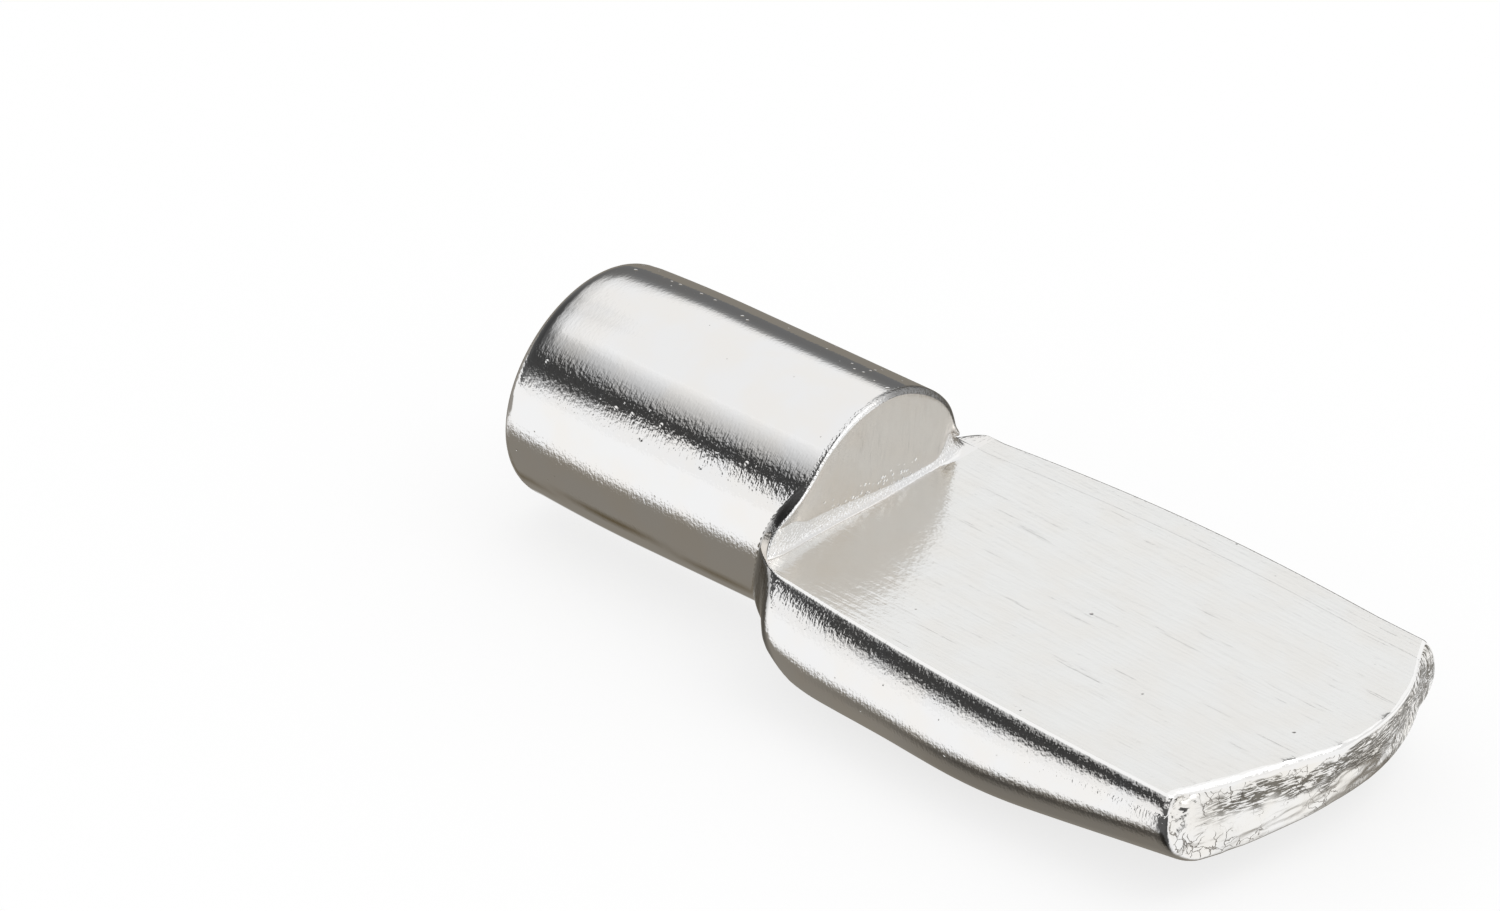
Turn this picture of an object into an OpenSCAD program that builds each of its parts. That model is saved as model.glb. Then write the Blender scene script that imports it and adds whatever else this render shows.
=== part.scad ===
// Spoon-type shelf support pin, cold formed from one length of round steel wire.
// A round shank plugs into the wall of a cabinet. In front of an upright step the wire
// is pressed into a flat blade, and the shelf rests on the blade's bearing face.
//
// The shank's axis is the X axis. The shank points to -X, the blade to +X, and the bearing
// face looks up, to +Z. The origin lies on the axis where the shoulder starts, which is where
// the cabinet wall's face comes. All sizes are in millimetres.

/* [Shank] */
// Diameter of the round shank
shank_d = 6.3; // [5:0.1:7.4]
// Length of the shank, from its free end to the step
shank_len = 9.5; // [6:0.1:16]
// Rounding of the edge at the shank's free end
end_r = 0.5; // [0.1:0.05:0.8]
// How much the shank's radius swells from the cabinet wall's face to the step
root_swell = 0.03; // [0.02:0.01:0.06]
// Rounding of the shank's edge above the step
step_edge_r = 0.2; // [0.05:0.05:0.4]

/* [Bearing face] */
// Height of the bearing face above the shank's axis, at the step
face_rise = 0.28; // [0:0.02:0.6]
// Fall of the bearing face toward the tip, in degrees
face_slope = 2.3; // [0:0.1:4]
// Radius of the hollow corner between the step and the bearing face
root_r = 0.3; // [0.1:0.05:0.6]
// Width of the bearing face at the step
root_w = 8.2; // [7.8:0.1:9.2]
// Width of the bearing face at its widest
face_w = 9.35; // [9.25:0.05:11]
// Distance from the step at which the face reaches its full width
full_w_at = 10; // [6:0.5:12]

/* [Blade] */
// Length of the blade, from the step to the middle of the tip
blade_len = 14.2; // [12:0.1:20]
// Thickness of the blade's sides, from the step to where the taper starts
body_t = 2.74; // [2.4:0.02:3.2]
// Thickness of the blade's sides at the tip
tip_t = 1.86; // [1.6:0.02:2.3]
// Distance from the step at which the underside starts to rise
taper_from = 7; // [4:0.1:9]
// Half the length over which the underside bends into the taper
taper_blend = 1.4; // [0.4:0.1:2]
// Swell of the underside's middle below its sides, near the step
belly = 0.32; // [0.15:0.01:0.5]
// Swell of the underside's middle at the tip
tip_belly = 0.1; // [0.05:0.01:0.3]
// Slope of the flank just under the bearing face, in degrees from upright
flank_angle = 42; // [25:1:55]
// Rounding between the flank and the underside
corner_r = 1.25; // [0.8:0.05:1.5]
// Rounding of the bearing face's long edges
edge_r = 0.15; // [0.05:0.01:0.25]

/* [Tip] */
// Radius of the tip, seen from above
tip_r = 7.2; // [6.5:0.1:15]
// How far the tip's lower edge stands back from its upper edge
tip_lean = 0.45; // [0.1:0.05:0.8]

/* [Shoulder] */
// How far behind the step the shoulder starts, level with the shank's axis
shoulder_back = 0.7; // [0.4:0.05:1.2]
// How much further back the shoulder starts at the bottom of the shank
shoulder_lean = 1.3; // [0.6:0.05:1.8]
// How far in front of the step the shoulder's underside reaches its full depth
shoulder_front = 2.7; // [1.5:0.1:4]
// Height of the shoulder's ears above the bearing face, on both sides of the step
ear_h = 1.3; // [0.6:0.05:1.6]
// How far the shoulder's underside hangs below the shank
shoulder_drop = 0.1; // [0.06:0.01:0.3]

/* [Hidden] */
$fn = 96;

shank_r = shank_d / 2;
// Place of the step along X. The functions and modules below count x from the step.
step_x = shoulder_back + shoulder_lean;
// The blank runs this far past the tip before it is cropped
crop_waste = 1;
blank_end = blade_len + crop_waste;

// The blank's hidden start lies this far inside the shank's surface
lap = 0.1;
// The ears run on this far past the hollow corner, all of it removed by the pressing tool
ear_waste = 0.3;
// The ears and the shoulder are superellipses with these exponents
ear_power = 3;
shoulder_power = 1.55;
// The ears leave the shank this far behind the step and are full this far in front of it
ear_lead = 0.2;
// The corner rounding takes at most this share of the blade's side
corner_share = 0.68;
// Slope at which the blank rises toward its middle before its top is pressed flat
roof_angle = 15;
// How far the blank's eaves stand above the bearing face before it is pressed
eave_lap = 0.012;
// Points along each stretch of a section's outline
upper_n = 6;
flank_n = 5;
corner_n = 5;
belly_n = 5;
// Rings along the blank, which lie closer together where the shoulder leaves the shank
shoulder_rings = 10;
root_rings = 4;
blade_rings = 14;
ring_bias = 1.7;
// Size of the blocks that trim the blank
trim = 40;

// Height of the bearing face at x
function face_z(x) = face_rise - max(x, 0) * tan(face_slope);

// Half the width of the bearing face at x
function half_w(x) = let (t = min(max(x, 0) / full_w_at, 1))
    root_w / 2 + (face_w - root_w) / 2 * (1 - pow(1 - t, 2));

// Zero below t = 0, t above it, with a smooth bend of half-length blend between
function bend(t, blend) = t < -blend ? 0 : t > blend ? t : pow(t + blend, 2) / (4 * blend);

// 0 to 1 with level ends, as t goes from 0 to 1
function ease(t) = let (u = min(max(t, 0), 1)) u * u * (3 - 2 * u);

// Thickness of the blade's sides at x
function side_t(x) = body_t
    - (body_t - tip_t) * bend(x - taper_from, taper_blend) / (blade_len - taper_from);

// Depth of the underside's middle below the bearing face at x
function belly_depth(x) = let (
        t = min(max(x, 0) / blade_len, 1),
        blade_depth = side_t(x) + belly + (tip_belly - belly) * t,
        root_depth = max(face_rise + shank_r + shoulder_drop, body_t + belly))
    blade_depth + (root_depth - blade_depth) * (1 - ease(x / shoulder_front));

// A point at angle a, measured up from the horizontal, on a circle
function on_circle(cy, cz, r, a) = [cy + r * cos(a), cz + r * sin(a)];

// Upper part of a section: the ear behind the step, or a roof with rounded eaves
function ear_points(w, base) = [for (i = [0:upper_n - 1]) let (a = 90 * (1 - i / upper_n))
    [w * pow(cos(a), 2 / ear_power), base + (ear_h - base) * pow(sin(a), 2 / ear_power)]];

function roof_points(w) = let (
        cy = w - edge_r * cos(flank_angle),
        cz = eave_lap - edge_r * cos(roof_angle),
        eave = on_circle(cy, cz, edge_r, 90 - roof_angle))
    concat([[0, eave[1] + eave[0] * tan(roof_angle)]],
        [for (i = [0:upper_n - 2])
            on_circle(cy, cz, edge_r,
                90 - roof_angle - (90 - roof_angle - flank_angle) * i / (upper_n - 1))]);

// Lower part of a section: flank, corner and belly as three arcs that meet smoothly
function lower_points(x, w, base) = let (
        side = side_t(x),
        lower_r = min(corner_r, corner_share * side),
        flank_r = (side + base - lower_r) / sin(flank_angle),
        flank_y = w - flank_r * cos(flank_angle),
        mid_z = base - flank_r * sin(flank_angle),
        corner_y = flank_y + flank_r - lower_r,
        depth = belly_depth(x),
        fall = mid_z + depth,
        belly_r = (corner_y * corner_y + fall * fall - lower_r * lower_r) / (2 * (fall - lower_r)),
        belly_z = belly_r - depth,
        turn = atan2(belly_z - mid_z, corner_y))
    concat(
        [for (i = [0:flank_n - 1])
            on_circle(flank_y, mid_z, flank_r, flank_angle * (1 - i / flank_n))],
        [for (i = [0:corner_n - 1]) on_circle(corner_y, mid_z, lower_r, -turn * i / corner_n)],
        [for (i = [0:belly_n])
            on_circle(0, belly_z, belly_r, -turn - (90 - turn) * i / belly_n)]);

// Half of a section's outline at x, from its top to its bottom, as [y, height over the face]
function half_outline(x) = let (
        w = half_w(x),
        base = eave_lap - edge_r * (cos(roof_angle) - sin(flank_angle)))
    concat(x < root_r + ear_waste ? ear_points(w, base) : roof_points(w), lower_points(x, w, base));

// Sine of the angle at which each point of the outline at the step stands over the shank's axis
SINES = [for (p = half_outline(0)) (p[1] + face_z(0)) / norm([p[0], p[1] + face_z(0)])];

// Where along X the shoulder leaves the shank, and where it has its full size
function leaves_at(sine) = min(shoulder_lean * sine - shoulder_back, -ear_lead);
function full_at(sine) = ear_lead + (shoulder_front - ear_lead) * max(-sine, 0);

// Point i of half an outline at x, drawn in toward the shank. Grown is 0 inside the shank's
// surface and 1 at full size.
function half_point(x, i, grown) = let (
        p = half_outline(x)[i] + [0, face_z(x)],
        inner = shank_r - lap)
    [x, p[0], p[1]] + (1 - grown) * (inner / norm(p) - 1) * [0, p[0], p[1]];

// Half a ring of the shoulder, t from 0 inside the shank to 1 at full size
function shoulder_half(t) = [for (i = [0:len(SINES) - 1])
    let (from = leaves_at(SINES[i]), to = full_at(SINES[i]))
    half_point(from + (to - from) * t, i, pow(1 - pow(1 - t, shoulder_power), 1 / shoulder_power))];

// Half a ring that runs from the shoulder's full size, at t = 0, to a level section at t = 1
function root_half(t) = [for (i = [0:len(SINES) - 1])
    let (from = full_at(SINES[i])) half_point(from + (shoulder_front - from) * t, i, 1)];

// Half a level section of the blade
function blade_half(x) = [for (p = half_outline(x)) [x, p[0], p[1] + face_z(x)]];

// Whole ring from its half
function ring(half) = concat(half, [for (i = [len(half) - 2:-1:1]) [half[i][0], -half[i][1], half[i][2]]]);

// Closed solid over a row of rings with equal numbers of points
module skin(rings) {
    count = len(rings[0]);
    last = (len(rings) - 1) * count;
    centres = len(rings) * count;
    mid = [for (r = [rings[0], rings[len(rings) - 1]]) (r[0] + r[floor(count / 2)]) / 2];
    polyhedron(
        points = concat([for (r = rings) each r], mid),
        faces = [
            for (s = [0:len(rings) - 2], i = [0:count - 1])
                let (a = s * count + i, b = s * count + (i + 1) % count)
                each [[a, b, b + count], [a, b + count, a + count]],
            for (i = [0:count - 1]) each [
                [centres, (i + 1) % count, i],
                [centres + 1, last + i, last + (i + 1) % count]]
        ],
        convexity = 6);
}

// Round shank, a little wider at its root, with both edges rounded
module shank() {
    swollen_r = shank_r + root_swell;
    rotate([0, -90, 0])
        rotate_extrude()
            union() {
                polygon([
                    [0, 0], [swollen_r - step_edge_r, 0], [swollen_r - step_edge_r, step_edge_r],
                    [swollen_r, step_edge_r], [shank_r, step_x], [shank_r, shank_len - end_r],
                    [shank_r - end_r, shank_len - end_r], [shank_r - end_r, shank_len],
                    [0, shank_len]
                ]);
                intersection() {
                    translate([swollen_r - step_edge_r, step_edge_r]) circle(step_edge_r);
                    square([swollen_r, shank_len]);
                }
                intersection() {
                    translate([shank_r - end_r, shank_len - end_r]) circle(end_r);
                    square([shank_r, shank_len]);
                }
            }
}

// Flared shoulder and blade before the bearing face is pressed and the tip is cropped
module blank() {
    skin([
        for (i = [0:shoulder_rings]) ring(shoulder_half(pow(i / shoulder_rings, ring_bias))),
        for (i = [1:root_rings]) ring(root_half(i / root_rings)),
        for (i = [1:blade_rings])
            ring(blade_half(shoulder_front + (blank_end - shoulder_front) * i / blade_rings))
    ]);
}

// What the pressing tool removes: all above the bearing face, with a rounded lower corner
module press_tool() {
    far = blank_end + crop_waste;
    corner_z = face_rise - root_r * tan(face_slope) + root_r / cos(face_slope);
    rotate([90, 0, 0])
        linear_extrude(height = trim, center = true)
            difference() {
                polygon([[0, trim], [0, face_z(0)], [far, face_z(far)], [far, trim]]);
                difference() {
                    polygon([[0, face_z(0)], [0, corner_z], [root_r, corner_z],
                        [root_r - root_r * sin(face_slope), corner_z - root_r * cos(face_slope)]]);
                    translate([root_r, corner_z]) circle(root_r);
                }
            }
}

// What is cropped off beyond the tip: all that lies outside a cone as wide as the tip's arc
module crop_tool() {
    top = face_z(blade_len);
    lean = tip_lean / tip_t;
    reach = 2 * tip_t;
    difference() {
        translate([blade_len - tip_r, -trim / 2, -reach]) cube([trim, trim, 2 * reach]);
        translate([blade_len - tip_r, 0, -reach])
            cylinder(h = 2 * reach, r1 = tip_r - (reach + top) * lean, r2 = tip_r + (reach - top) * lean);
    }
}

module support_pin() {
    color([0.78, 0.77, 0.75])
        translate([step_x, 0, 0])
            difference() {
                union() {
                    shank();
                    blank();
                }
                press_tool();
                crop_tool();
            }
}

support_pin();
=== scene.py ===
"""Shelf support pin, dressed: the cold-formed wire with its plating, brush marks and cropped end."""

import logging
import math
from dataclasses import dataclass, field
from enum import Enum

import bpy
import numpy as np
from mathutils import Matrix, Vector, noise


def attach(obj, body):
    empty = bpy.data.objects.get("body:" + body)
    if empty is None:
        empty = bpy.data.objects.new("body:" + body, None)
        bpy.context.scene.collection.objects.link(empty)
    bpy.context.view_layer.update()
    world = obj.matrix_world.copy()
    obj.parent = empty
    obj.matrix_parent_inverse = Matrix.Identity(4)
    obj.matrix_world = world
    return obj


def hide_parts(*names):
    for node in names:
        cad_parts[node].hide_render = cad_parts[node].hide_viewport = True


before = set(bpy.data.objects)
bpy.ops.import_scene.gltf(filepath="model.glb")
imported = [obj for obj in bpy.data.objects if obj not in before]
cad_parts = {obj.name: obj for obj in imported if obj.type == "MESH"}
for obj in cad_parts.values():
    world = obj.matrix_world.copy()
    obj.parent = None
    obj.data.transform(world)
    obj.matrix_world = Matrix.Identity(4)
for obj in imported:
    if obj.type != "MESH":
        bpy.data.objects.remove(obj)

Size = tuple[float, float, float]
Colour = tuple[float, float, float]
Span = tuple[float, float]
Grid = tuple[float, float, int]
Socket = bpy.types.NodeSocket
Value = bpy.types.NodeSocket | float

MM = 0.001
WHITE: Colour = (1.0, 1.0, 1.0)
LOG = logging.getLogger("support_pin")


class Zone(Enum):
    """Surface zones of the pin. The value is the material's place on the mesh."""

    PLATE = 0
    FACE = 1
    STEP = 2
    CROP = 3


# ---------------------------------------------------------------- small helpers


def ease(t: np.ndarray | float) -> np.ndarray:
    """0 to 1 with level ends, as t goes from 0 to 1."""
    u = np.clip(t, 0.0, 1.0)
    return u * u * (3.0 - 2.0 * u)


def rise(v: np.ndarray, start: float, full: float) -> np.ndarray:
    """0 up to the start of a span and 1 from where it is full, which may lie below its start."""
    return ease((v - start) / (full - start))


def hump(v: np.ndarray, start: float, stop: float) -> np.ndarray:
    """0 outside a span, swelling to 1 in its middle."""
    return np.sin(math.pi * np.clip((v - start) / (stop - start), 0.0, 1.0))


def soft_positive(v: np.ndarray, blend: float) -> np.ndarray:
    """v where it is positive and about 0 elsewhere, with a smooth bend of size blend."""
    return (v + np.sqrt(v * v + blend * blend)) / 2.0


def unit(v: np.ndarray) -> np.ndarray:
    """Rows of v scaled to length 1."""
    return v / np.maximum(np.linalg.norm(v, axis=-1, keepdims=True), 1e-9)


def ring(upper: np.ndarray, lower: np.ndarray) -> np.ndarray:
    """Closed ring from its halves, which share their first and last points."""
    return np.vstack([upper, lower[-2:0:-1]])


@dataclass(frozen=True)
class Wander:
    """Smooth random pattern.

    Attributes:
        size: size of its widest swells, in the points' unit.
        seed: picks another pattern.
        octaves: how many layers it has.
        calming: how fast the layers grow weaker.
        finer: how much finer each layer is than the last.
        way: direction in which the seed moves the pattern.
    """

    size: float
    seed: float
    octaves: int
    calming: float = 0.6
    finer: float = 2.1
    way: Size = (1.0, 2.3, -1.7)

    def at(self, points: np.ndarray) -> np.ndarray:
        """Its values, about -1 to 1, one for each row of three coordinates."""
        shift = Vector([self.seed * along for along in self.way])
        layers = (self.calming, self.finer, self.octaves)
        return np.array([noise.fractal(Vector(p) / self.size + shift, *layers) for p in points])


# ---------------------------------------------------------------- the pin's form
#
# Sizes are in millimetres and angles in degrees. x is counted from the step, y toward the far
# side and z from the shank's axis. A ring of points runs round the pin at each station. Its
# upper half goes from the near edge over the top to the far edge, and its lower half from the
# near edge round the underside. A span gives where something starts and where it is full.


@dataclass(frozen=True)
class Shank:
    """Round shank, with a rounded free end that is cut a little out of square."""

    r: float = 3.15
    end_x: float = -9.5
    end_r: float = 0.54
    end_slant: float = 0.078
    lead_len: float = 3.2
    lead_drop: float = 0.093
    flare_x: float = -2.6
    end_rings: int = 11
    plain_rings: int = 33

    def radius(self, x: np.ndarray) -> np.ndarray:
        """Radius of the shank at x, which narrows a little toward its free end."""
        start = self.end_x + self.end_r + self.lead_len
        t = np.clip((start - x) / self.lead_len, 0.0, 1.0)
        return self.r - self.lead_drop * t * t

    def free_end(self, around: np.ndarray) -> list[np.ndarray]:
        """Rings of the rounded edge at the free end, from its flat outward.

        Args:
            around: direction of each of a ring's points, as rows of y and z.

        Returns:
            The rings, each as rows of x, y and z.
        """
        slant = self.end_slant * around[:, 1] * self.r
        rings = []
        for phi in np.radians(np.linspace(90.0, 0.0, self.end_rings)):
            x = self.end_x + self.end_r * (1 - math.sin(phi)) + slant
            r = self.r - self.lead_drop - self.end_r * (1 - math.cos(phi))
            rings.append(np.column_stack([x, around * r]))
        return rings

    def rings(self, around: np.ndarray) -> list[np.ndarray]:
        """Rings from the free end to where the shoulder's flare may start."""
        end = self.free_end(around)
        first = end[-1][:, 0]
        plain = []
        for s in np.linspace(0.0, 1.0, self.plain_rings + 1)[1:]:
            x = first + (self.flare_x - first) * s
            plain.append(np.column_stack([x, around * self.radius(x)[:, None]]))
        return end + plain


@dataclass(frozen=True)
class Blade:
    """Flat blade: a bearing face over flanks that turn under to a shallow belly."""

    shank: Shank = Shank()
    length: float = 14.2
    face_rise: float = 0.28
    face_slope: float = 2.3
    root_w: float = 8.2
    face_w: float = 9.35
    full_w_at: float = 10.0
    far_wider: float = 0.15
    far_wider_on: Span = (0.3, 11.3)
    body_t: float = 2.8
    tip_t: float = 1.8
    taper_from: float = 7.0
    taper_blend: float = 1.4
    root_full: float = 0.09
    root_full_on: Span = (0.3, 1.9)
    root_full_off: Span = (4.5, 1.0)
    belly: float = 0.32
    tip_belly: float = 0.1
    root_drop: float = 0.1
    root_len: float = 2.6
    flank_angle: float = 38.5
    root_flank_angle: float = 14.0
    flank_turn: Span = (-0.45, 0.35)
    corner_r: float = 1.25
    corner_share: float = 0.68
    edge_r: float = 0.11
    edge_least: float = 0.25
    edge_full: Span = (-0.05, 0.35)
    columns: int = 128
    roll_columns: int = 7
    flank_columns: int = 22
    corner_columns: int = 18

    def face_z(self, x: np.ndarray) -> np.ndarray:
        """Height of the bearing face at x."""
        return self.face_rise - np.maximum(x, 0.0) * math.tan(math.radians(self.face_slope))

    def half_w(self, x: np.ndarray) -> np.ndarray:
        """Half the width of the bearing face at x."""
        t = np.clip(x / self.full_w_at, 0.0, 1.0)
        return self.root_w / 2 + (self.face_w - self.root_w) / 2 * (1 - (1 - t) ** 2)

    def wider(self, x: np.ndarray) -> np.ndarray:
        """How much further the blade reaches on its far side than on its near side."""
        return self.far_wider * hump(x, *self.far_wider_on)

    def side_t(self, x: np.ndarray) -> np.ndarray:
        """Thickness of the blade's sides at x."""
        t, blend = x - self.taper_from, self.taper_blend
        bend = np.where(t < -blend, 0.0, np.where(t > blend, t, (t + blend) ** 2 / (4 * blend)))
        return self.body_t - (self.body_t - self.tip_t) * bend / (self.length - self.taper_from)

    def depth(self, x: np.ndarray) -> np.ndarray:
        """Depth of the underside's middle below the bearing face at x."""
        t = np.clip(x / self.length, 0.0, 1.0)
        blade = self.side_t(x) + self.belly + (self.tip_belly - self.belly) * t
        root = self.face_rise + self.shank.r + self.root_drop
        return blade + (root - blade) * (1 - ease(x / self.root_len))

    def flank(self, x: np.ndarray) -> np.ndarray:
        """Slope of the blade's flanks where they start under its edges, in radians."""
        turned = rise(x, *self.flank_turn)
        return np.radians(self.root_flank_angle + (self.flank_angle - self.root_flank_angle) * turned)

    def roll(self, x: np.ndarray) -> np.ndarray:
        """Radius of the blade's rolled edges at x."""
        return self.edge_r * (self.edge_least + (1 - self.edge_least) * rise(x, *self.edge_full))

    def lower(self, x: np.ndarray) -> np.ndarray:
        """Lower half of the section: rolled edge, flank, corner and belly, near edge to far edge.

        Args:
            x: one station for each of the columns + 1 points.

        Returns:
            Rows of y and z.
        """
        half = self.columns // 2
        counts = [self.roll_columns, self.flank_columns, self.corner_columns]
        counts.append(half - sum(counts))
        ends = np.cumsum(counts)
        across = np.arange(-half, half + 1)
        i = half - np.abs(across)
        side = np.where(across <= 0, -1.0, 1.0)
        alpha, roll = self.flank(x), self.roll(x)
        w, thick, depth = self.half_w(x), self.side_t(x), self.depth(x)
        w = w + np.where(side > 0, self.wider(x), 0.0)
        thick = thick + self.root_full * rise(x, *self.root_full_on) * rise(x, *self.root_full_off)
        base = -roll * (1 - np.sin(alpha))
        lower_r = np.minimum(self.corner_r, self.corner_share * thick)
        flank_r = (thick + base - lower_r) / np.sin(alpha)
        flank_y = w - flank_r * np.cos(alpha)
        mid_z = base - flank_r * np.sin(alpha)
        corner_y = flank_y + flank_r - lower_r
        fall = mid_z + depth
        belly_r = (corner_y**2 + fall**2 - lower_r**2) / (2 * (fall - lower_r))
        belly_z = belly_r - depth
        turn = np.arctan2(belly_z - mid_z, corner_y)

        t = [np.clip((i - end + count) / count, 0.0, 1.0) for end, count in zip(ends, counts)]
        arcs = (
            (w - roll * np.cos(alpha), -roll, roll, np.pi / 2 + (alpha - np.pi / 2) * t[0]),
            (flank_y, mid_z, flank_r, alpha * (1 - t[1])),
            (corner_y, mid_z, lower_r, -turn * t[2]),
            (0.0, belly_z, belly_r, -turn - (np.pi / 2 - turn) * t[3]),
        )
        on_arc = [i <= end for end in ends]
        y = np.select(on_arc, [mid + r * np.cos(angle) for mid, _, r, angle in arcs])
        z = np.select(on_arc, [mid + r * np.sin(angle) for _, mid, r, angle in arcs])
        return np.column_stack([side * y, z + self.face_z(x)])


@dataclass(frozen=True)
class Shoulder:
    """Flare that grows from the round shank to the blade's section, with an ear on each side."""

    shank: Shank = Shank()
    blade: Blade = Blade()
    back: float = 0.945
    lean: float = 1.32
    front: float = 2.6
    front_blend: float = 0.14
    flare_power: float = 1.53
    flare_start: float = 0.08
    low_flare: float = 0.25
    low_flare_on: Span = (-0.25, -0.6)
    near_swell: float = 0.22
    swell_at: float = 0.2
    swell_width: float = 0.3
    near_ear: Span = (50.0, 9.0)
    far_ear: Span = (22.0, 4.0)
    far_ear_power: float = 2.4
    near_ear_stop: float = 0.25
    far_ear_stop: float = -0.3
    ear_stop_on: Span = (-0.25, 0.0)
    far_back: float = 0.5
    far_back_from: float = 2.6
    far_back_blend: float = 0.25
    far_back_zero: float = -1.4
    near_back: float = 0.16
    near_back_on: Span = (-3.2, -4.0)
    back_columns: float = 40.0
    crowding: float = 0.6

    def upper(self) -> np.ndarray:
        """Upper outline at the step: the shank's round top between its two ears, as y and z."""
        columns = self.blade.columns
        corner = self.blade.lower(np.zeros(columns + 1))[0]
        reach = float(np.hypot(*corner))
        first = math.degrees(math.atan2(corner[1], -corner[0]))
        u = np.linspace(0.0, 1.0, columns + 1)
        a = first + (180.0 - 2 * first) * (u - self.crowding * np.sin(2 * math.pi * u) / (2 * math.pi))
        near = rise(a, *self.near_ear) ** 2
        start, full = self.far_ear
        far = np.clip((180.0 - a - start) / (full - start), 0.0, 1.0) ** self.far_ear_power
        r = self.shank.r + (reach - self.shank.r) * (near + far)
        return np.stack([-r * np.cos(np.radians(a)), r * np.sin(np.radians(a))], 1)

    def around(self) -> np.ndarray:
        """Direction of each of a ring's points from the shank's axis, as rows of y and z."""
        return unit(ring(self.upper(), self.blade.lower(np.zeros(self.blade.columns + 1))))

    def growth(self, x: np.ndarray, sine: np.ndarray, far: np.ndarray) -> np.ndarray:
        """How far the shoulder has grown at x, 0 on the shank to 1 at full size.

        Args:
            x: station of each point.
            sine: sine of the angle at which each point stands over the shank's axis.
            far: whether each point is on the far side.

        Returns:
            One value for each point.
        """
        off = (sine - self.swell_at) / self.swell_width
        swell = np.where(far, 0.0, self.near_swell) * np.exp(-(off**2))
        start = self.lean * sine - self.back - swell
        ear = np.where(far, self.far_ear_stop, self.near_ear_stop)
        stop = self.front * soft_positive(-sine, self.front_blend) + ear * rise(sine, *self.ear_stop_on)
        t = np.clip((x - start) / np.maximum(stop - start, 0.05), 0.0, 1.0)
        t = t * t * (1 + self.flare_start) / (t + self.flare_start)
        power = self.flare_power - self.low_flare * rise(sine, *self.low_flare_on)
        return (1 - (1 - t) ** power) ** (1 / power)

    def flared(self, x: np.ndarray, full: np.ndarray) -> np.ndarray:
        """Points of a section drawn in toward the shank by the shoulder's growth, as x, y, z."""
        reach = np.linalg.norm(full, axis=1)
        sine = full[:, 1] / reach
        round_r = self.shank.radius(x)
        r = round_r + (reach - round_r) * self.growth(x, sine, full[:, 0] > 0)
        return np.column_stack([x, full * (r / reach)[:, None]])

    def low(self, x: np.ndarray) -> np.ndarray:
        """Points of the lower half at x, as x, y, z."""
        return self.flared(x, self.blade.lower(x))

    def joined(self, up: np.ndarray, x: np.ndarray) -> np.ndarray:
        """Ring of the upper points with the lower half at x, whose ends they share."""
        low = self.low(x)
        up[0], up[-1] = low[0], low[-1]
        return ring(up, low)

    def set_back(self) -> tuple[np.ndarray, np.ndarray]:
        """How far the points of both halves stand behind the step, which curves back at its far end."""
        y = self.upper()[:, 0]
        j = np.arange(len(y))
        bend = soft_positive(y - self.far_back_from, self.far_back_blend)
        level = soft_positive(self.far_back_zero - self.far_back_from, self.far_back_blend)
        far = self.far_back * (bend - level)
        up = far + self.near_back * rise(y, *self.near_back_on)
        low = far[-1] * ease(1 - j[::-1] / self.back_columns)
        return up, low + self.near_back * ease(1 - j / self.back_columns)

    def edge_y(self, x: np.ndarray, across: np.ndarray) -> np.ndarray:
        """Half the width of the flat of the bearing face at x, up to its rolled edges."""
        blade = self.blade
        full = blade.half_w(x) - blade.roll(x) * np.cos(blade.flank(x))
        full = full + np.where(across > 0, blade.wider(x), 0.0)
        grown = self.growth(x, np.full_like(x, blade.face_rise / blade.half_w(0.0)), across > 0)
        return self.shank.r + (full - self.shank.r) * grown

    def on_face(self, x: np.ndarray, across: np.ndarray) -> np.ndarray:
        """Points of the bearing face at x, as rows of x, y and z."""
        return np.column_stack([x, across * self.edge_y(x, across), self.blade.face_z(x)])


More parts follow.
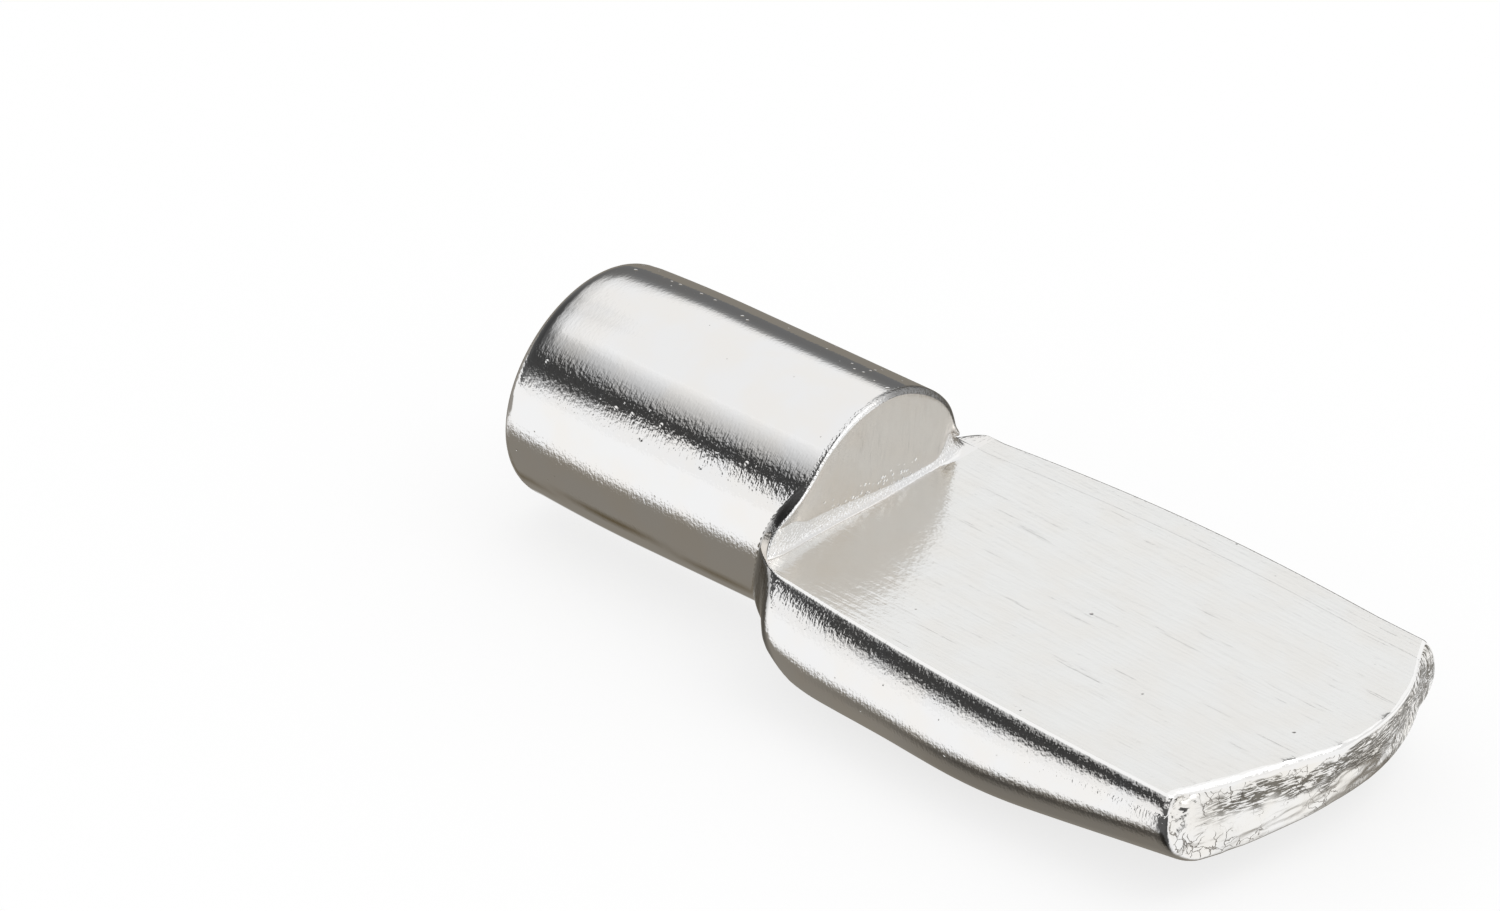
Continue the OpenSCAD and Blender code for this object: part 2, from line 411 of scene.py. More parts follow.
@dataclass(frozen=True)
class Step:
    """Upright step between the shank and the bearing face, over a hollow foot."""

    shoulder: Shoulder = Shoulder()
    edge_r: float = 0.1
    near_edge_share: float = 0.55
    near_edge_on: Span = (-0.2, -2.4)
    far_edge_share: float = 1.6
    far_edge_on: Span = (0.2, 1.8)
    far_edge_off: Span = (3.2, 2.7)
    lip_rise: float = 0.022
    lip_len: float = 0.11
    lip_on: Span = (0.2, 0.35)
    lip_off: Span = (0.92, 0.72)
    lip_long: Span = (0.85, 0.35)
    lip_shortest: float = 0.4
    lip_uneven: Wander = Wander(0.3, 5.0, 3)
    lip_stretch: Size = (0.2, 1.0, 1.0)
    lip_swing: float = 0.5
    corner_columns: float = 9.0
    lean: float = 0.18
    near_lean: float = 0.1
    near_on: Span = (1.0, -2.5)
    foot_height: float = 0.15
    foot_end: float = 0.02
    foot_shift: float = 0.16
    near_foot_rise: float = 0.28
    near_foot_on: Span = (1.6, -2.6)
    corner_foot_rise: float = 0.2
    corner_foot_on: Span = (-2.3, -2.9)
    far_foot_rise: float = 0.4
    far_foot_on: Span = (2.1, 3.1)
    wall_set_back: float = 0.6
    flare_rings: int = 47
    edge_rings: int = 8
    wall_rings: int = 18
    foot_rings: int = 10

    def both_halves(self, up: np.ndarray) -> tuple[np.ndarray, np.ndarray]:
        """Values of the upper half's points, and the lower half's between its shared ends."""
        last = len(up) - 1
        return up, np.interp(np.arange(last + 1), [0, last], [up[0], up[-1]])

    def edge(self) -> tuple[np.ndarray, np.ndarray]:
        """Radius of the step's rounded edge at the points of both halves."""
        y = self.shoulder.upper()[:, 0]
        near = (1 - self.near_edge_share) * rise(y, *self.near_edge_on)
        far = (self.far_edge_share - 1) * rise(y, *self.far_edge_on) * rise(y, *self.far_edge_off)
        return self.both_halves(self.edge_r * (1 - near + far))

    def lipped(self, points: np.ndarray, behind: np.ndarray | float) -> np.ndarray:
        """Points of the upper half, raised by the ragged lip along the step's near edge.

        Args:
            points: rows of x, y and z.
            behind: how far each point stands behind the step's rounded edge.

        Returns:
            The raised points.
        """
        out = unit(points[:, 1:])
        sine = out[:, 1]
        shown = rise(sine, *self.lip_on) * rise(sine, *self.lip_off) * (points[:, 1] < 0)
        longer = (1 - self.lip_shortest) * rise(sine, *self.lip_long)
        length = self.lip_len * (self.lip_shortest + longer)
        uneven = 1 + self.lip_swing * self.lip_uneven.at(points * np.array(self.lip_stretch))
        height = self.lip_rise * shown * uneven * np.clip(1 - behind / length, 0.0, 1.0) ** 1.5
        raised = points.copy()
        raised[:, 1:] += out * height[:, None]
        return raised

    def flare(self) -> list[np.ndarray]:
        """Rings of the shoulder's flare, from the plain shank to the step's rounded edge."""
        shoulder, level = self.shoulder, self.shoulder.shank.flare_x
        upper = shoulder.upper()
        up_edge, low_edge = self.edge()
        up_back, low_back = shoulder.set_back()
        rings = []
        for s in 1 - (1 - np.linspace(0.0, 1.0, self.flare_rings + 1)[1:]) ** 1.5:
            xu = level + (-up_edge - level) * s - up_back * s * s
            xl = level + (-low_edge - level) * s - low_back * s * s
            up = self.lipped(shoulder.flared(xu, upper), -up_edge - up_back - xu)
            rings.append(ring(up, shoulder.low(xl)))
        return rings

    def from_corner(self) -> np.ndarray:
        """0 at the ends of the upper half, rising to 1 a few columns in."""
        last = self.shoulder.blade.columns
        j = np.arange(last + 1)
        return ease(np.minimum(j, last - j) / self.corner_columns)

    def over(self) -> list[np.ndarray]:
        """Rings over the step's rounded edge."""
        shoulder = self.shoulder
        upper = shoulder.upper()
        up_back, low_back = shoulder.set_back()
        tangent = unit(np.gradient(shoulder.flared(-up_back, upper)[:, 1:], axis=0))
        inward = np.stack([tangent[:, 1], -tangent[:, 0]], 1)
        up_edge, low_edge = self.edge()
        reach = up_edge * self.from_corner()
        rings = []
        for phi in np.radians(np.linspace(0.0, 90.0, self.edge_rings + 1))[1:]:
            xu = -up_edge * (1 - math.sin(phi)) - up_back
            xl = -low_edge * (1 - math.sin(phi)) - low_back
            up = self.lipped(shoulder.flared(xu, upper), 0.0)
            up[:, 1:] += inward * (reach * (1 - math.cos(phi)))[:, None]
            rings.append(ring(up, shoulder.low(xl)))
        return rings

    def wall_and_foot(self, top: np.ndarray) -> tuple[list[np.ndarray], list[np.ndarray]]:
        """Rings down the step and round its hollow foot.

        Args:
            top: points of the step's upper edge.

        Returns:
            The rings of the wall and those of the foot.
        """
        blade, joined = self.shoulder.blade, self.shoulder.joined
        low_back = self.shoulder.set_back()[1]
        near = rise(top[:, 1], *self.near_on)
        bottom = self.foot_top(top)
        bottom[:, 0] -= (self.lean + self.near_lean * near) * self.from_corner()
        up_foot, low_foot = self.foot_ends()
        wall, foot = [], []
        for t in np.linspace(0.0, 1.0, self.wall_rings + 1)[1:]:
            xl = -low_back * (1 - (1 - self.wall_set_back) * t)
            wall.append(joined(top + (bottom - top) * t, xl))
        for t in np.linspace(0.0, 1.0, self.foot_rings + 1)[1:]:
            psi = math.pi / 2 * t
            up = bottom.copy()
            up[:, 0] = up_foot + (bottom[:, 0] - up_foot) * math.cos(psi)
            up[:, 2] = blade.face_z(up[:, 0]) + (bottom[:, 2] - blade.face_rise) * (1 - math.sin(psi))
            foot.append(joined(up, low_foot * t - self.wall_set_back * low_back * (1 - t)))
        return wall, foot

    def foot_ends(self) -> tuple[np.ndarray, np.ndarray]:
        """x at which the step's hollow foot runs out, at the points of both halves."""
        near = rise(self.shoulder.upper()[:, 0], *self.near_on)
        return self.both_halves(self.foot_end - self.foot_shift * near)

    def foot_top(self, top: np.ndarray) -> np.ndarray:
        """Line on the step where its hollow foot starts, under the points of its upper edge."""
        y = top[:, 1]
        near = self.near_foot_rise * rise(y, *self.near_foot_on)
        corner = self.corner_foot_rise * rise(y, *self.corner_foot_on)
        far = self.far_foot_rise * rise(y, *self.far_foot_on)
        height = self.shoulder.blade.face_rise + self.foot_height + near + corner + far
        bottom = top.copy()
        bottom[:, 2] = np.minimum(height, top[:, 2])
        return bottom


@dataclass(frozen=True)
class Tip:
    """Cropped end of the blade, with its rolled edge and its burr."""

    shoulder: Shoulder = Shoulder()
    arc_r: float = 7.2
    square: float = 4.4
    over_len: float = 0.04
    near_flat: float = 0.3
    near_flat_on: Span = (-0.2, -4.5)
    far_full: float = 0.1
    far_full_on: Span = (0.2, 4.8)
    low_x: float = 13.68
    low_y: float = 0.9
    low_r: float = 18.5
    far_low_r: float = 6.7
    far_bulge: float = 0.12
    far_bulge_on: Span = (2.2, 4.4)
    fall: float = 2.0
    fall_from: float = 0.5
    roll_r: float = 0.1
    roll_uneven: Wander = Wander(0.5, 3.0, 4)
    roll_swing: float = 0.3
    top_roll: float = 0.1
    top_on: Span = (-0.75, -0.35)
    near_on: Span = (0.7, -0.3)
    side_roll: float = 0.04
    side_on: Span = (-3.9, -4.2)
    side_low: Span = (-0.4, -0.55)
    mid_z: float = -0.75
    mid_half: float = 0.25
    burr: float = 0.035
    burr_uneven: Wander = Wander(0.4, 8.0, 2)
    burr_low: Span = (-0.5, -0.35)
    burr_far: Span = (2.5, 1.5)
    inset: float = 0.75
    inner_share: float = 0.93
    rings: int = 6
    fitting_rounds: int = 12

    def top_x(self, y: np.ndarray) -> np.ndarray:
        """x of the tip's upper edge at y. It is an arc, a little flatter on the near side."""
        y = np.clip(y, -self.square, self.square)
        drop = self.arc_r - np.sqrt(self.arc_r**2 - y * y)
        near = self.near_flat * hump(y, *self.near_flat_on)
        far = self.far_full * hump(y, *self.far_full_on)
        return self.shoulder.blade.length + self.over_len - drop - near + far

    def crop_x(self, y: np.ndarray, z: np.ndarray) -> np.ndarray:
        """x of the cropped end at y and z. Its lower edge is straighter than its upper edge."""
        blade = self.shoulder.blade
        top = blade.face_z(np.full_like(z, blade.length - self.fall_from))
        down = np.clip((top - z) / self.fall, 0.0, 1.0)
        off = np.clip(y, -self.square, self.square) - self.low_y
        low = self.low_x - off**2 / (2 * np.where(off > 0, self.far_low_r, self.low_r))
        bulge = self.far_bulge * np.sin(math.pi * down) * rise(y, *self.far_bulge_on)
        return self.top_x(y) + (low - self.top_x(y)) * down + bulge

    def edges(self, across: np.ndarray) -> tuple[np.ndarray, np.ndarray]:
        """Sharp edge of the cropped end, over the face's points and over the lower half's points."""
        shoulder = self.shoulder
        xu = np.full(len(across), shoulder.blade.length - 1.0)
        xl = xu.copy()
        for _ in range(self.fitting_rounds):
            up = shoulder.on_face(xu, across)
            xu = self.crop_x(up[:, 1], up[:, 2])
            low = shoulder.blade.lower(xl)
            xl = self.crop_x(low[:, 0], low[:, 1])
        up, low = shoulder.on_face(xu, across), np.column_stack([xl, shoulder.blade.lower(xl)])
        up[0], up[-1] = low[0], low[-1]
        return up, low

    def roll_sizes(self, edge: np.ndarray) -> np.ndarray:
        """How far the rolled edge of the cropped end reaches from each point of its sharp edge."""
        y, z = edge[:, 1], edge[:, 2]
        side = rise(y, *self.side_on) * rise(z, *self.side_low)
        top = self.top_roll * rise(z, *self.top_on) * rise(y, *self.near_on) * (1 - side)
        uneven = 1 + self.roll_swing * self.roll_uneven.at(edge)
        return (self.roll_r + top + self.side_roll * side) * uneven

    def roll(self, across: np.ndarray) -> list[np.ndarray]:
        """Rings round the rolled edge of the cropped end, from the blade inward."""
        up_end, low_end = self.edges(across)
        edge = ring(up_end, low_end)
        size = ring(self.roll_sizes(up_end)[:, None], self.roll_sizes(low_end)[:, None])
        half = self.shoulder.blade.face_w / 2 - self.inset
        y_in = np.clip(edge[:, 1] * self.inner_share, -half, half)
        z_in = np.clip(edge[:, 2], self.mid_z - self.mid_half, self.mid_z + self.mid_half)
        inner = np.column_stack([self.crop_x(y_in, z_in), y_in, z_in])
        start = edge - size * np.array([1.0, 0.0, 0.0])
        stop = edge + size * unit(inner - edge)
        lift = self.burr * np.clip(self.burr_uneven.at(edge) + 0.4, 0.0, 1.0)
        lift *= rise(edge[:, 2], *self.burr_low) * rise(edge[:, 1], *self.burr_far)
        rings = []
        for t in np.linspace(0.0, 1.0, self.rings + 1)[1:]:
            points = (1 - t) ** 2 * start + 2 * t * (1 - t) * edge + t * t * stop
            points[:, 2] += lift * max(1.0 - 2.5 * (t - 1 / self.rings), 0.0)
            rings.append(points)
        return rings


@dataclass(frozen=True)
class PinForm:
    """The whole form, as rings from the free end to the cropped end."""

    shoulder: Shoulder = Shoulder()
    step: Step = Step()
    tip: Tip = Tip()
    face_rings: int = 84

    def strips(self) -> list[tuple[Zone, list[np.ndarray]]]:
        """Rings of each strip of the pin's skin, with the zone of its upper half."""
        shoulder, step = self.shoulder, self.step
        over = step.over()
        wall, foot = step.wall_and_foot(self.upper_points(over[-1]))
        across = self.across(self.upper_points(foot[-1]))
        return [
            (Zone.PLATE, shoulder.shank.rings(shoulder.around()) + step.flare() + over),
            (Zone.STEP, wall),
            (Zone.PLATE, foot),
            (Zone.FACE, self.face(across)),
            (Zone.PLATE, self.tip.roll(across)),
        ]

    def upper_points(self, points: np.ndarray) -> np.ndarray:
        """The points of a ring's upper half."""
        return points[: self.shoulder.blade.columns + 1].copy()

    def across(self, foot: np.ndarray) -> np.ndarray:
        """Place of each point of the foot's front edge across the face, from -1 to 1."""
        side = np.sign(foot[:, 1])
        across = np.clip(foot[:, 1] / self.shoulder.edge_y(foot[:, 0], side), -1.0, 1.0)
        across[0], across[-1] = -1.0, 1.0
        return across

    def face(self, across: np.ndarray) -> list[np.ndarray]:
        """Rings of the blade, from the step's foot to the start of the tip's rolled edge.

        Args:
            across: place of each upper point across the face, from -1 to 1.

        Returns:
            The rings, each as rows of x, y and z.
        """
        up_end, low_end = self.tip.edges(across)
        up_stop = up_end[:, 0] - self.tip.roll_sizes(up_end)
        low_stop = low_end[:, 0] - self.tip.roll_sizes(low_end)
        up_start, low_start = self.step.foot_ends()
        rings = []
        for s in np.linspace(0.0, 1.0, self.face_rings + 1)[1:]:
            up = self.shoulder.on_face(up_start + (up_stop - up_start) * s, across)
            rings.append(self.shoulder.joined(up, low_start + (low_stop - low_start) * s))
        return rings


# ---------------------------------------------------------------- the pin's mesh


@dataclass(frozen=True)
class TornRelief:
    """Torn relief of the cropped end, along x, which fades out toward its rim.

    Sizes are in millimetres. Each fade is a share of the end's height or width.
    """

    depth: float = 0.07
    pattern: Wander = Wander(0.55, 1.0, 4)
    stretch: Size = (1.0, 0.45, 1.0)
    top_fade: float = 0.12
    bottom_fade: float = 0.1
    side_fade: float = 0.02

    def moves(self, inner: np.ndarray) -> np.ndarray:
        """How far each point moves.

        Args:
            inner: grid of points inside the rim, by row and column.

        Returns:
            The same grid of moves.
        """
        rows, columns = inner.shape[0] + 1, inner.shape[1] + 1
        k = (np.arange(1, rows) / rows)[:, None]
        j = (np.arange(1, columns) / columns)[None, :]
        fade = ease(k / self.top_fade) * ease((1 - k) / self.bottom_fade)
        fade = fade * ease(j / self.side_fade) * ease((1 - j) / self.side_fade)
        heights = self.pattern.at((inner * np.array(self.stretch)).reshape(-1, 3))
        move = np.zeros_like(inner)
        move[:, :, 0] = self.depth * heights.reshape(fade.shape) * fade
        return move


@dataclass
class Skin:
    """The mesh as it grows: its points in millimetres, its faces and each face's zone.

    Attributes:
        points: rows of x, y and z, one ring after another.
        around: how many points are in a ring.
        columns: how many faces lie across the upper half, and as many across the lower half.
        faces: the points of each face.
        marks: the zone of each face, as its material's place on the mesh.
    """

    points: np.ndarray
    around: int
    columns: int
    faces: list[tuple[int, ...]] = field(default_factory=list)
    marks: list[int] = field(default_factory=list)

    def wrap(self, zones: list[Zone]) -> None:
        """Joins each ring to the next.

        Args:
            zones: zone of the upper half between each ring and the next. The lower half is plate.
        """
        for k, zone in enumerate(zones):
            a, b = k * self.around, (k + 1) * self.around
            for j in range(self.around):
                after = (j + 1) % self.around
                self.faces.append((a + j, b + j, b + after, a + after))
                self.marks.append((zone if j < self.columns else Zone.PLATE).value)

    def close(
        self, first: int, rows: int, zone: Zone, flip: bool, relief: TornRelief | None = None
    ) -> None:
        """Fills a ring with rows of faces between its two halves.

        Args:
            first: number of the ring's first point.
            rows: how many rows of faces there are.
            zone: zone of the faces.
            flip: whether the faces look toward the tip.
            relief: relief of the faces, if they have any.
        """
        half = self.columns
        top = first + np.arange(half + 1)
        bottom = first + (self.around - np.arange(half + 1)) % self.around
        t = (np.arange(1, rows) / rows)[:, None, None]
        inner = self.points[top[1:-1]] * (1 - t) + self.points[bottom[1:-1]] * t
        if relief:
            inner = inner + relief.moves(inner)
        grid = np.empty((rows + 1, half + 1), dtype=int)
        grid[0], grid[-1], grid[:, 0], grid[:, -1] = top, bottom, top[0], top[-1]
        numbers = len(self.points) + np.arange((rows - 1) * (half - 1))
        grid[1:-1, 1:-1] = numbers.reshape(rows - 1, half - 1)
        self.points = np.vstack([self.points, inner.reshape(-1, 3)])
        for k in range(rows):
            for j in range(half):
                corners = (grid[k, j], grid[k, j + 1], grid[k + 1, j + 1], grid[k + 1, j])
                face = tuple(dict.fromkeys(int(c) for c in corners))
                self.faces.append(face[::-1] if flip else face)
                self.marks.append(zone.value)

    def mesh(self, name: str, sharp_angle: float) -> bpy.types.Mesh:
        """Mesh of the skin in metres.

        Args:
            name: name of the mesh.
            sharp_angle: angle in degrees over which an edge is shaded as a sharp one.

        Returns:
            The mesh.
        """
        mesh = bpy.data.meshes.new(name)
        mesh.from_pydata((self.points * MM).tolist(), [], self.faces)
        mesh.polygons.foreach_set("material_index", np.array(self.marks, dtype=np.int32))
        mesh.polygons.foreach_set("use_smooth", np.ones(len(self.faces), dtype=bool))
        mesh.validate()
        mesh.update()
        mesh.set_sharp_from_angle(angle=math.radians(sharp_angle))
        return mesh


@dataclass(frozen=True)
class PinBody:
    """The pin as one closed mesh, with a material for each zone of its surface."""

    form: PinForm = PinForm()
    name: str = "pin_body"
    step_x: float = 2.0
    relief: TornRelief = TornRelief()
    crop_rows: int = 30
    end_rows: int = 24
    sharp_angle: float = 38.0

    def build(self) -> bpy.types.Object:
        """Builds the mesh and marks its zones.

        Returns:
            The new object, linked to the scene.
        """
        strips = self.form.strips()
        rings = [points for _, strip in strips for points in strip]
        zones = [zone for zone, strip in strips for _ in strip]
        skin = Skin(np.vstack(rings), len(rings[0]), self.form.shoulder.blade.columns)
        skin.wrap(zones[1:])
        skin.close(0, self.end_rows, Zone.PLATE, flip=False)
        last = (len(rings) - 1) * skin.around
        skin.close(last, self.crop_rows, Zone.CROP, flip=True, relief=self.relief)
        skin.points[:, 0] += self.step_x
        body = bpy.data.objects.new(self.name, skin.mesh(self.name, self.sharp_angle))
        bpy.context.scene.collection.objects.link(body)
        return body


# ---------------------------------------------------------------- finishes


@dataclass
class Nodes:
    """Short-hand for adding nodes to a tree and linking them."""

    tree: bpy.types.NodeTree

    def fill(self, node: bpy.types.Node, inputs: dict) -> bpy.types.Node:
        """Gives a node its inputs.

        Args:
            node: the node.
            inputs: a value or another node's output for each named or numbered input.

        Returns:
            The node.
        """
        for key, value in inputs.items():
            if isinstance(value, bpy.types.NodeSocket):
                self.tree.links.new(value, node.inputs[key])
            else:
                node.inputs[key].default_value = value
        return node

    def add(self, kind: str, inputs: dict | None = None, **settings: object) -> bpy.types.Node:
        """Adds a node.

        Args:
            kind: the node's type, without its ShaderNode prefix.
            inputs: a value or another node's output for each named or numbered input.
            settings: the node's own settings.

        Returns:
            The node.
        """
        node = self.tree.nodes.new("ShaderNode" + kind)
        for key, value in settings.items():
            setattr(node, key, value)
        return self.fill(node, inputs or {})

    def group(self, tree: bpy.types.NodeTree, inputs: dict) -> bpy.types.bpy_prop_collection:
        """Outputs of one of the shared groups, added with its own inputs."""
        return self.fill(self.add("Group", node_tree=tree), inputs).outputs

    def maths(self, operation: str, a: Value, b: Value = 0.0) -> Socket:
        """Result of one sum on one or two values."""
        return self.add("Math", {0: a, 1: b}, operation=operation).outputs[0]

    def times(self, first: Value, *others: Value) -> Socket:
        """Product of the values."""
        for other in others:
            first = self.maths("MULTIPLY", first, other)
        return first

    def plus(self, first: Value, *others: Value) -> Socket:
        """Sum of the values."""
        for other in others:
            first = self.maths("ADD", first, other)
        return first

    def most(self, first: Value, *others: Value) -> Socket:
        """Largest of the values."""
        for other in others:
            first = self.maths("MAXIMUM", first, other)
        return first

    def ramp(self, value: Value, span: Span, start: float = 0.0, stop: float = 1.0) -> Socket:
        """Value turned smoothly from start to stop as it passes over the span."""
        limits = {"From Min": span[0], "From Max": span[1], "To Min": start, "To Max": stop}
        ramp = self.add("MapRange", {"Value": value} | limits, interpolation_type="SMOOTHSTEP")
        return ramp.outputs["Result"]

    def window(self, value: Value, low: Span, high: Span) -> Socket:
        """1 between the two spans and 0 outside them."""
        return self.times(self.ramp(value, low), self.ramp(value, high))

    def mix(self, share: Value, a: Value, b: Colour | Socket) -> Socket:
        """Colour a turned to colour b by share."""
        b = b if isinstance(b, bpy.types.NodeSocket) else (*b, 1.0)
        return self.add("Mix", {0: share, 6: a, 7: b}, data_type="RGBA").outputs[2]

    def stretch(self, vector: Socket, scale: Size) -> Socket:
        """Vector scaled along each of its directions."""
        return self.add("VectorMath", {0: vector, 1: scale}, operation="MULTIPLY").outputs[0]

    def per_mm(self, vector: Socket, size: Size | float) -> Socket:
        """Place in metres counted in steps of size millimetres, along x, y and z."""
        sizes = size if isinstance(size, tuple) else (size,) * 3
        return self.stretch(vector, tuple(1000.0 / v for v in sizes))

    def noise(self, vector: Socket, detail: float) -> bpy.types.bpy_prop_collection:
        """Outputs of a noise whose swells are about one step of the vector wide."""
        return self.add("TexNoise", {"Vector": vector, "Scale": 1.0, "Detail": detail}).outputs


@dataclass(frozen=True)
class Place:
    """Where a point of a material lies on the pin.

    Attributes:
        point: the place as a vector in metres.
        x: distance along the blade in millimetres.
        y: distance toward the far side in millimetres.
        z: height over the shank's axis in millimetres.
        facing: x of the direction in which the surface faces.
    """

    point: Socket
    x: Socket
    y: Socket
    z: Socket
    facing: Socket

    @classmethod
    def of(cls, nodes: Nodes) -> "Place":
        """Place of the material whose nodes these are."""
        coords = nodes.add("TexCoord").outputs
        point = coords["Object"]
        parts = nodes.add("SeparateXYZ", {0: nodes.per_mm(point, 1.0)}).outputs
        facing = nodes.add("SeparateXYZ", {0: coords["Normal"]}).outputs[0]
        return cls(point, parts[0], parts[1], parts[2], facing)


class Effects:
    """Surface effects that several finishes share, each a node group that is built once."""

    grain_detail: float = 1.5
    pit_edge: Span = (0.0, 0.7)
    line_detail: float = 3.0
    deep_stretch: Size = (0.31, 0.31, 0.6)
    deep_detail: float = 2.0
    deep_share: Span = (0.60, 0.72)
    cut_share: Span = (0.45, 0.65)
    cloud_detail: float = 3.0
    cloud_share: Span = (0.35, 0.68)

    def __init__(self) -> None:
        """Builds the groups."""
        place = {"Vector": "NodeSocketVector"}
        sizes = {"Size": "NodeSocketFloat", "Share": "NodeSocketFloat"}
        tints = {"Cool": "NodeSocketColor", "Warm": "NodeSocketColor"}
        self.grain = self.new_group("fine_grain", place, ("Height",))
        self.pits = self.new_group("small_pits", place | sizes, ("Mask",))
        self.lines = self.new_group("fine_lines", place, ("Height", "Mask"))
        self.clouds = self.new_group("warm_clouds", place | tints, ("Color",))
        self.build_grain()
        self.build_pits()
        self.build_lines()
        self.build_clouds()

    @staticmethod
    def new_group(name: str, inputs: dict[str, str], outputs: tuple[str, ...]) -> bpy.types.NodeTree:
        """Makes an empty node group.

        Args:
            name: name of the group.
            inputs: socket type of each named input.
            outputs: names of the outputs. One named Color is a colour, and the others are values.

        Returns:
            The group's tree, with its input and output nodes.
        """
        tree = bpy.data.node_groups.new(name, "ShaderNodeTree")
        for label, kind in inputs.items():
            tree.interface.new_socket(label, in_out="INPUT", socket_type=kind)
        for label in outputs:
            kind = "NodeSocketColor" if label == "Color" else "NodeSocketFloat"
            tree.interface.new_socket(label, in_out="OUTPUT", socket_type=kind)
        tree.nodes.new("NodeGroupInput")
        tree.nodes.new("NodeGroupOutput")
        return tree

    @staticmethod
    def ends(tree: bpy.types.NodeTree) -> tuple[Nodes, object, object]:
        """The group's node helper, its inputs and its outputs."""
        source = next(n for n in tree.nodes if n.bl_idname == "NodeGroupInput").outputs
        target = next(n for n in tree.nodes if n.bl_idname == "NodeGroupOutput").inputs
        return Nodes(tree), source, target

    def build_grain(self) -> None:
        """Even grain of about one unit, with a finer layer in it."""
        nodes, source, target = self.ends(self.grain)
        centred = nodes.maths("SUBTRACT", nodes.noise(source["Vector"], self.grain_detail)[0], 0.5)
        self.grain.links.new(centred, target["Height"])

    def build_pits(self) -> None:
        """Small round pits, in a share of cells that are one unit wide."""
        nodes, source, target = self.ends(self.pits)
        cells = nodes.add("TexVoronoi", {"Vector": source["Vector"], "Scale": 1.0})
        dice = nodes.add("SeparateColor", {0: cells.outputs["Color"]})
        chosen = nodes.maths("LESS_THAN", dice.outputs[0], source["Share"])
        size = nodes.times(source["Size"], nodes.plus(dice.outputs[1], 0.5))
        near = nodes.maths("SUBTRACT", 1.0, nodes.maths("DIVIDE", cells.outputs["Distance"], size))
        self.pits.links.new(nodes.times(nodes.ramp(near, self.pit_edge), chosen), target["Mask"])

    def build_lines(self) -> None:
        """Fine lines, long where the vector's steps are long, with some deeper ones among them."""
        nodes, source, target = self.ends(self.lines)
        fine = nodes.noise(source["Vector"], self.line_detail)[0]
        deep = nodes.noise(nodes.stretch(source["Vector"], self.deep_stretch), self.deep_detail)[0]
        cut = nodes.times(nodes.ramp(deep, self.deep_share), nodes.ramp(fine, self.cut_share))
        height = nodes.maths("SUBTRACT", nodes.maths("SUBTRACT", fine, 0.5), cut)
        self.lines.links.new(height, target["Height"])
        self.lines.links.new(cut, target["Mask"])

    def build_clouds(self) -> None:
        """Soft clouds of a cooler and a warmer tint."""
        nodes, source, target = self.ends(self.clouds)
        share = nodes.ramp(nodes.noise(source["Vector"], self.cloud_detail)[0], self.cloud_share)
        self.clouds.links.new(nodes.mix(share, source["Cool"], source["Warm"]), target["Color"])

    def grain_height(self, nodes: Nodes, place: Place, size: Size | float) -> Socket:
        """Height of even grain of a size in millimetres."""
        return nodes.group(self.grain, {"Vector": nodes.per_mm(place.point, size)})["Height"]

    def pit_mask(self, nodes: Nodes, place: Place, cell: float, size: float, share: Value) -> Socket:
        """Mask of pits of a size in a share of the cells, which are cell millimetres wide."""
        cells = nodes.per_mm(place.point, cell)
        return nodes.group(self.pits, {"Vector": cells, "Size": size, "Share": share})["Mask"]


@dataclass(frozen=True)
class Finish:
    """Base of the pin's finishes. Sizes are in millimetres, bump depths in micrometres."""

    name: str
    cool: Colour
    warm: Colour
    roughness: float
    cloud_size: float = 1.3
    grain_size: float = 0.085
    grain_depth: float = 5.0
    pit_size: float = 0.09
    pit_share: float = 0.06
    pit_cell: float = 0.5
    pit_depth: float = 12.0
    # Painted shade in the pits: how far they are darkened, and toward which tint.
    pit_shade: float = 0.4
    pit_shade_tint: Colour = (0.25, 0.22, 0.2)

    def material(self, effects: Effects) -> bpy.types.Material:
        """Builds the finish's material.

        Args:
            effects: the shared node groups.

        Returns:
            The material.
        """
        mat = bpy.data.materials.new(self.name)
        mat.use_nodes = True
        nodes = Nodes(mat.node_tree)
        colour, roughness, height = self.surface(nodes, effects, Place.of(nodes))
        bump = nodes.add("Bump", {"Strength": 1.0, "Distance": 1e-6, "Height": height}).outputs["Normal"]
        looks = {"Metallic": 1.0, "Base Color": colour, "Roughness": roughness, "Normal": bump}
        nodes.fill(mat.node_tree.nodes["Principled BSDF"], looks)
        return mat

    def base(self, nodes: Nodes, effects: Effects, place: Place) -> tuple[Socket, Socket]:
        """Tint with its clouds and the painted shade in its pits, and the height of grain and pits."""
        clouds = {
            "Vector": nodes.per_mm(place.point, self.cloud_size),
            "Cool": (*self.cool, 1.0),
            "Warm": (*self.warm, 1.0),
        }
        cloud = nodes.group(effects.clouds, clouds)["Color"]
        pits = effects.pit_mask(nodes, place, self.pit_cell, self.pit_size, self.pit_share)
        grain = effects.grain_height(nodes, place, self.grain_size)
        # The pits are darkened toward a dark tint: painted shade inside each pit.
        tint = nodes.mix(nodes.times(pits, self.pit_shade), cloud, self.pit_shade_tint)
        height = nodes.plus(nodes.times(grain, self.grain_depth), nodes.times(pits, -self.pit_depth))
        return tint, height

    def surface(self, nodes: Nodes, effects: Effects, place: Place) -> tuple[Socket, Socket, Socket]:
        """Colour, roughness and bump height of the finish."""
        raise NotImplementedError


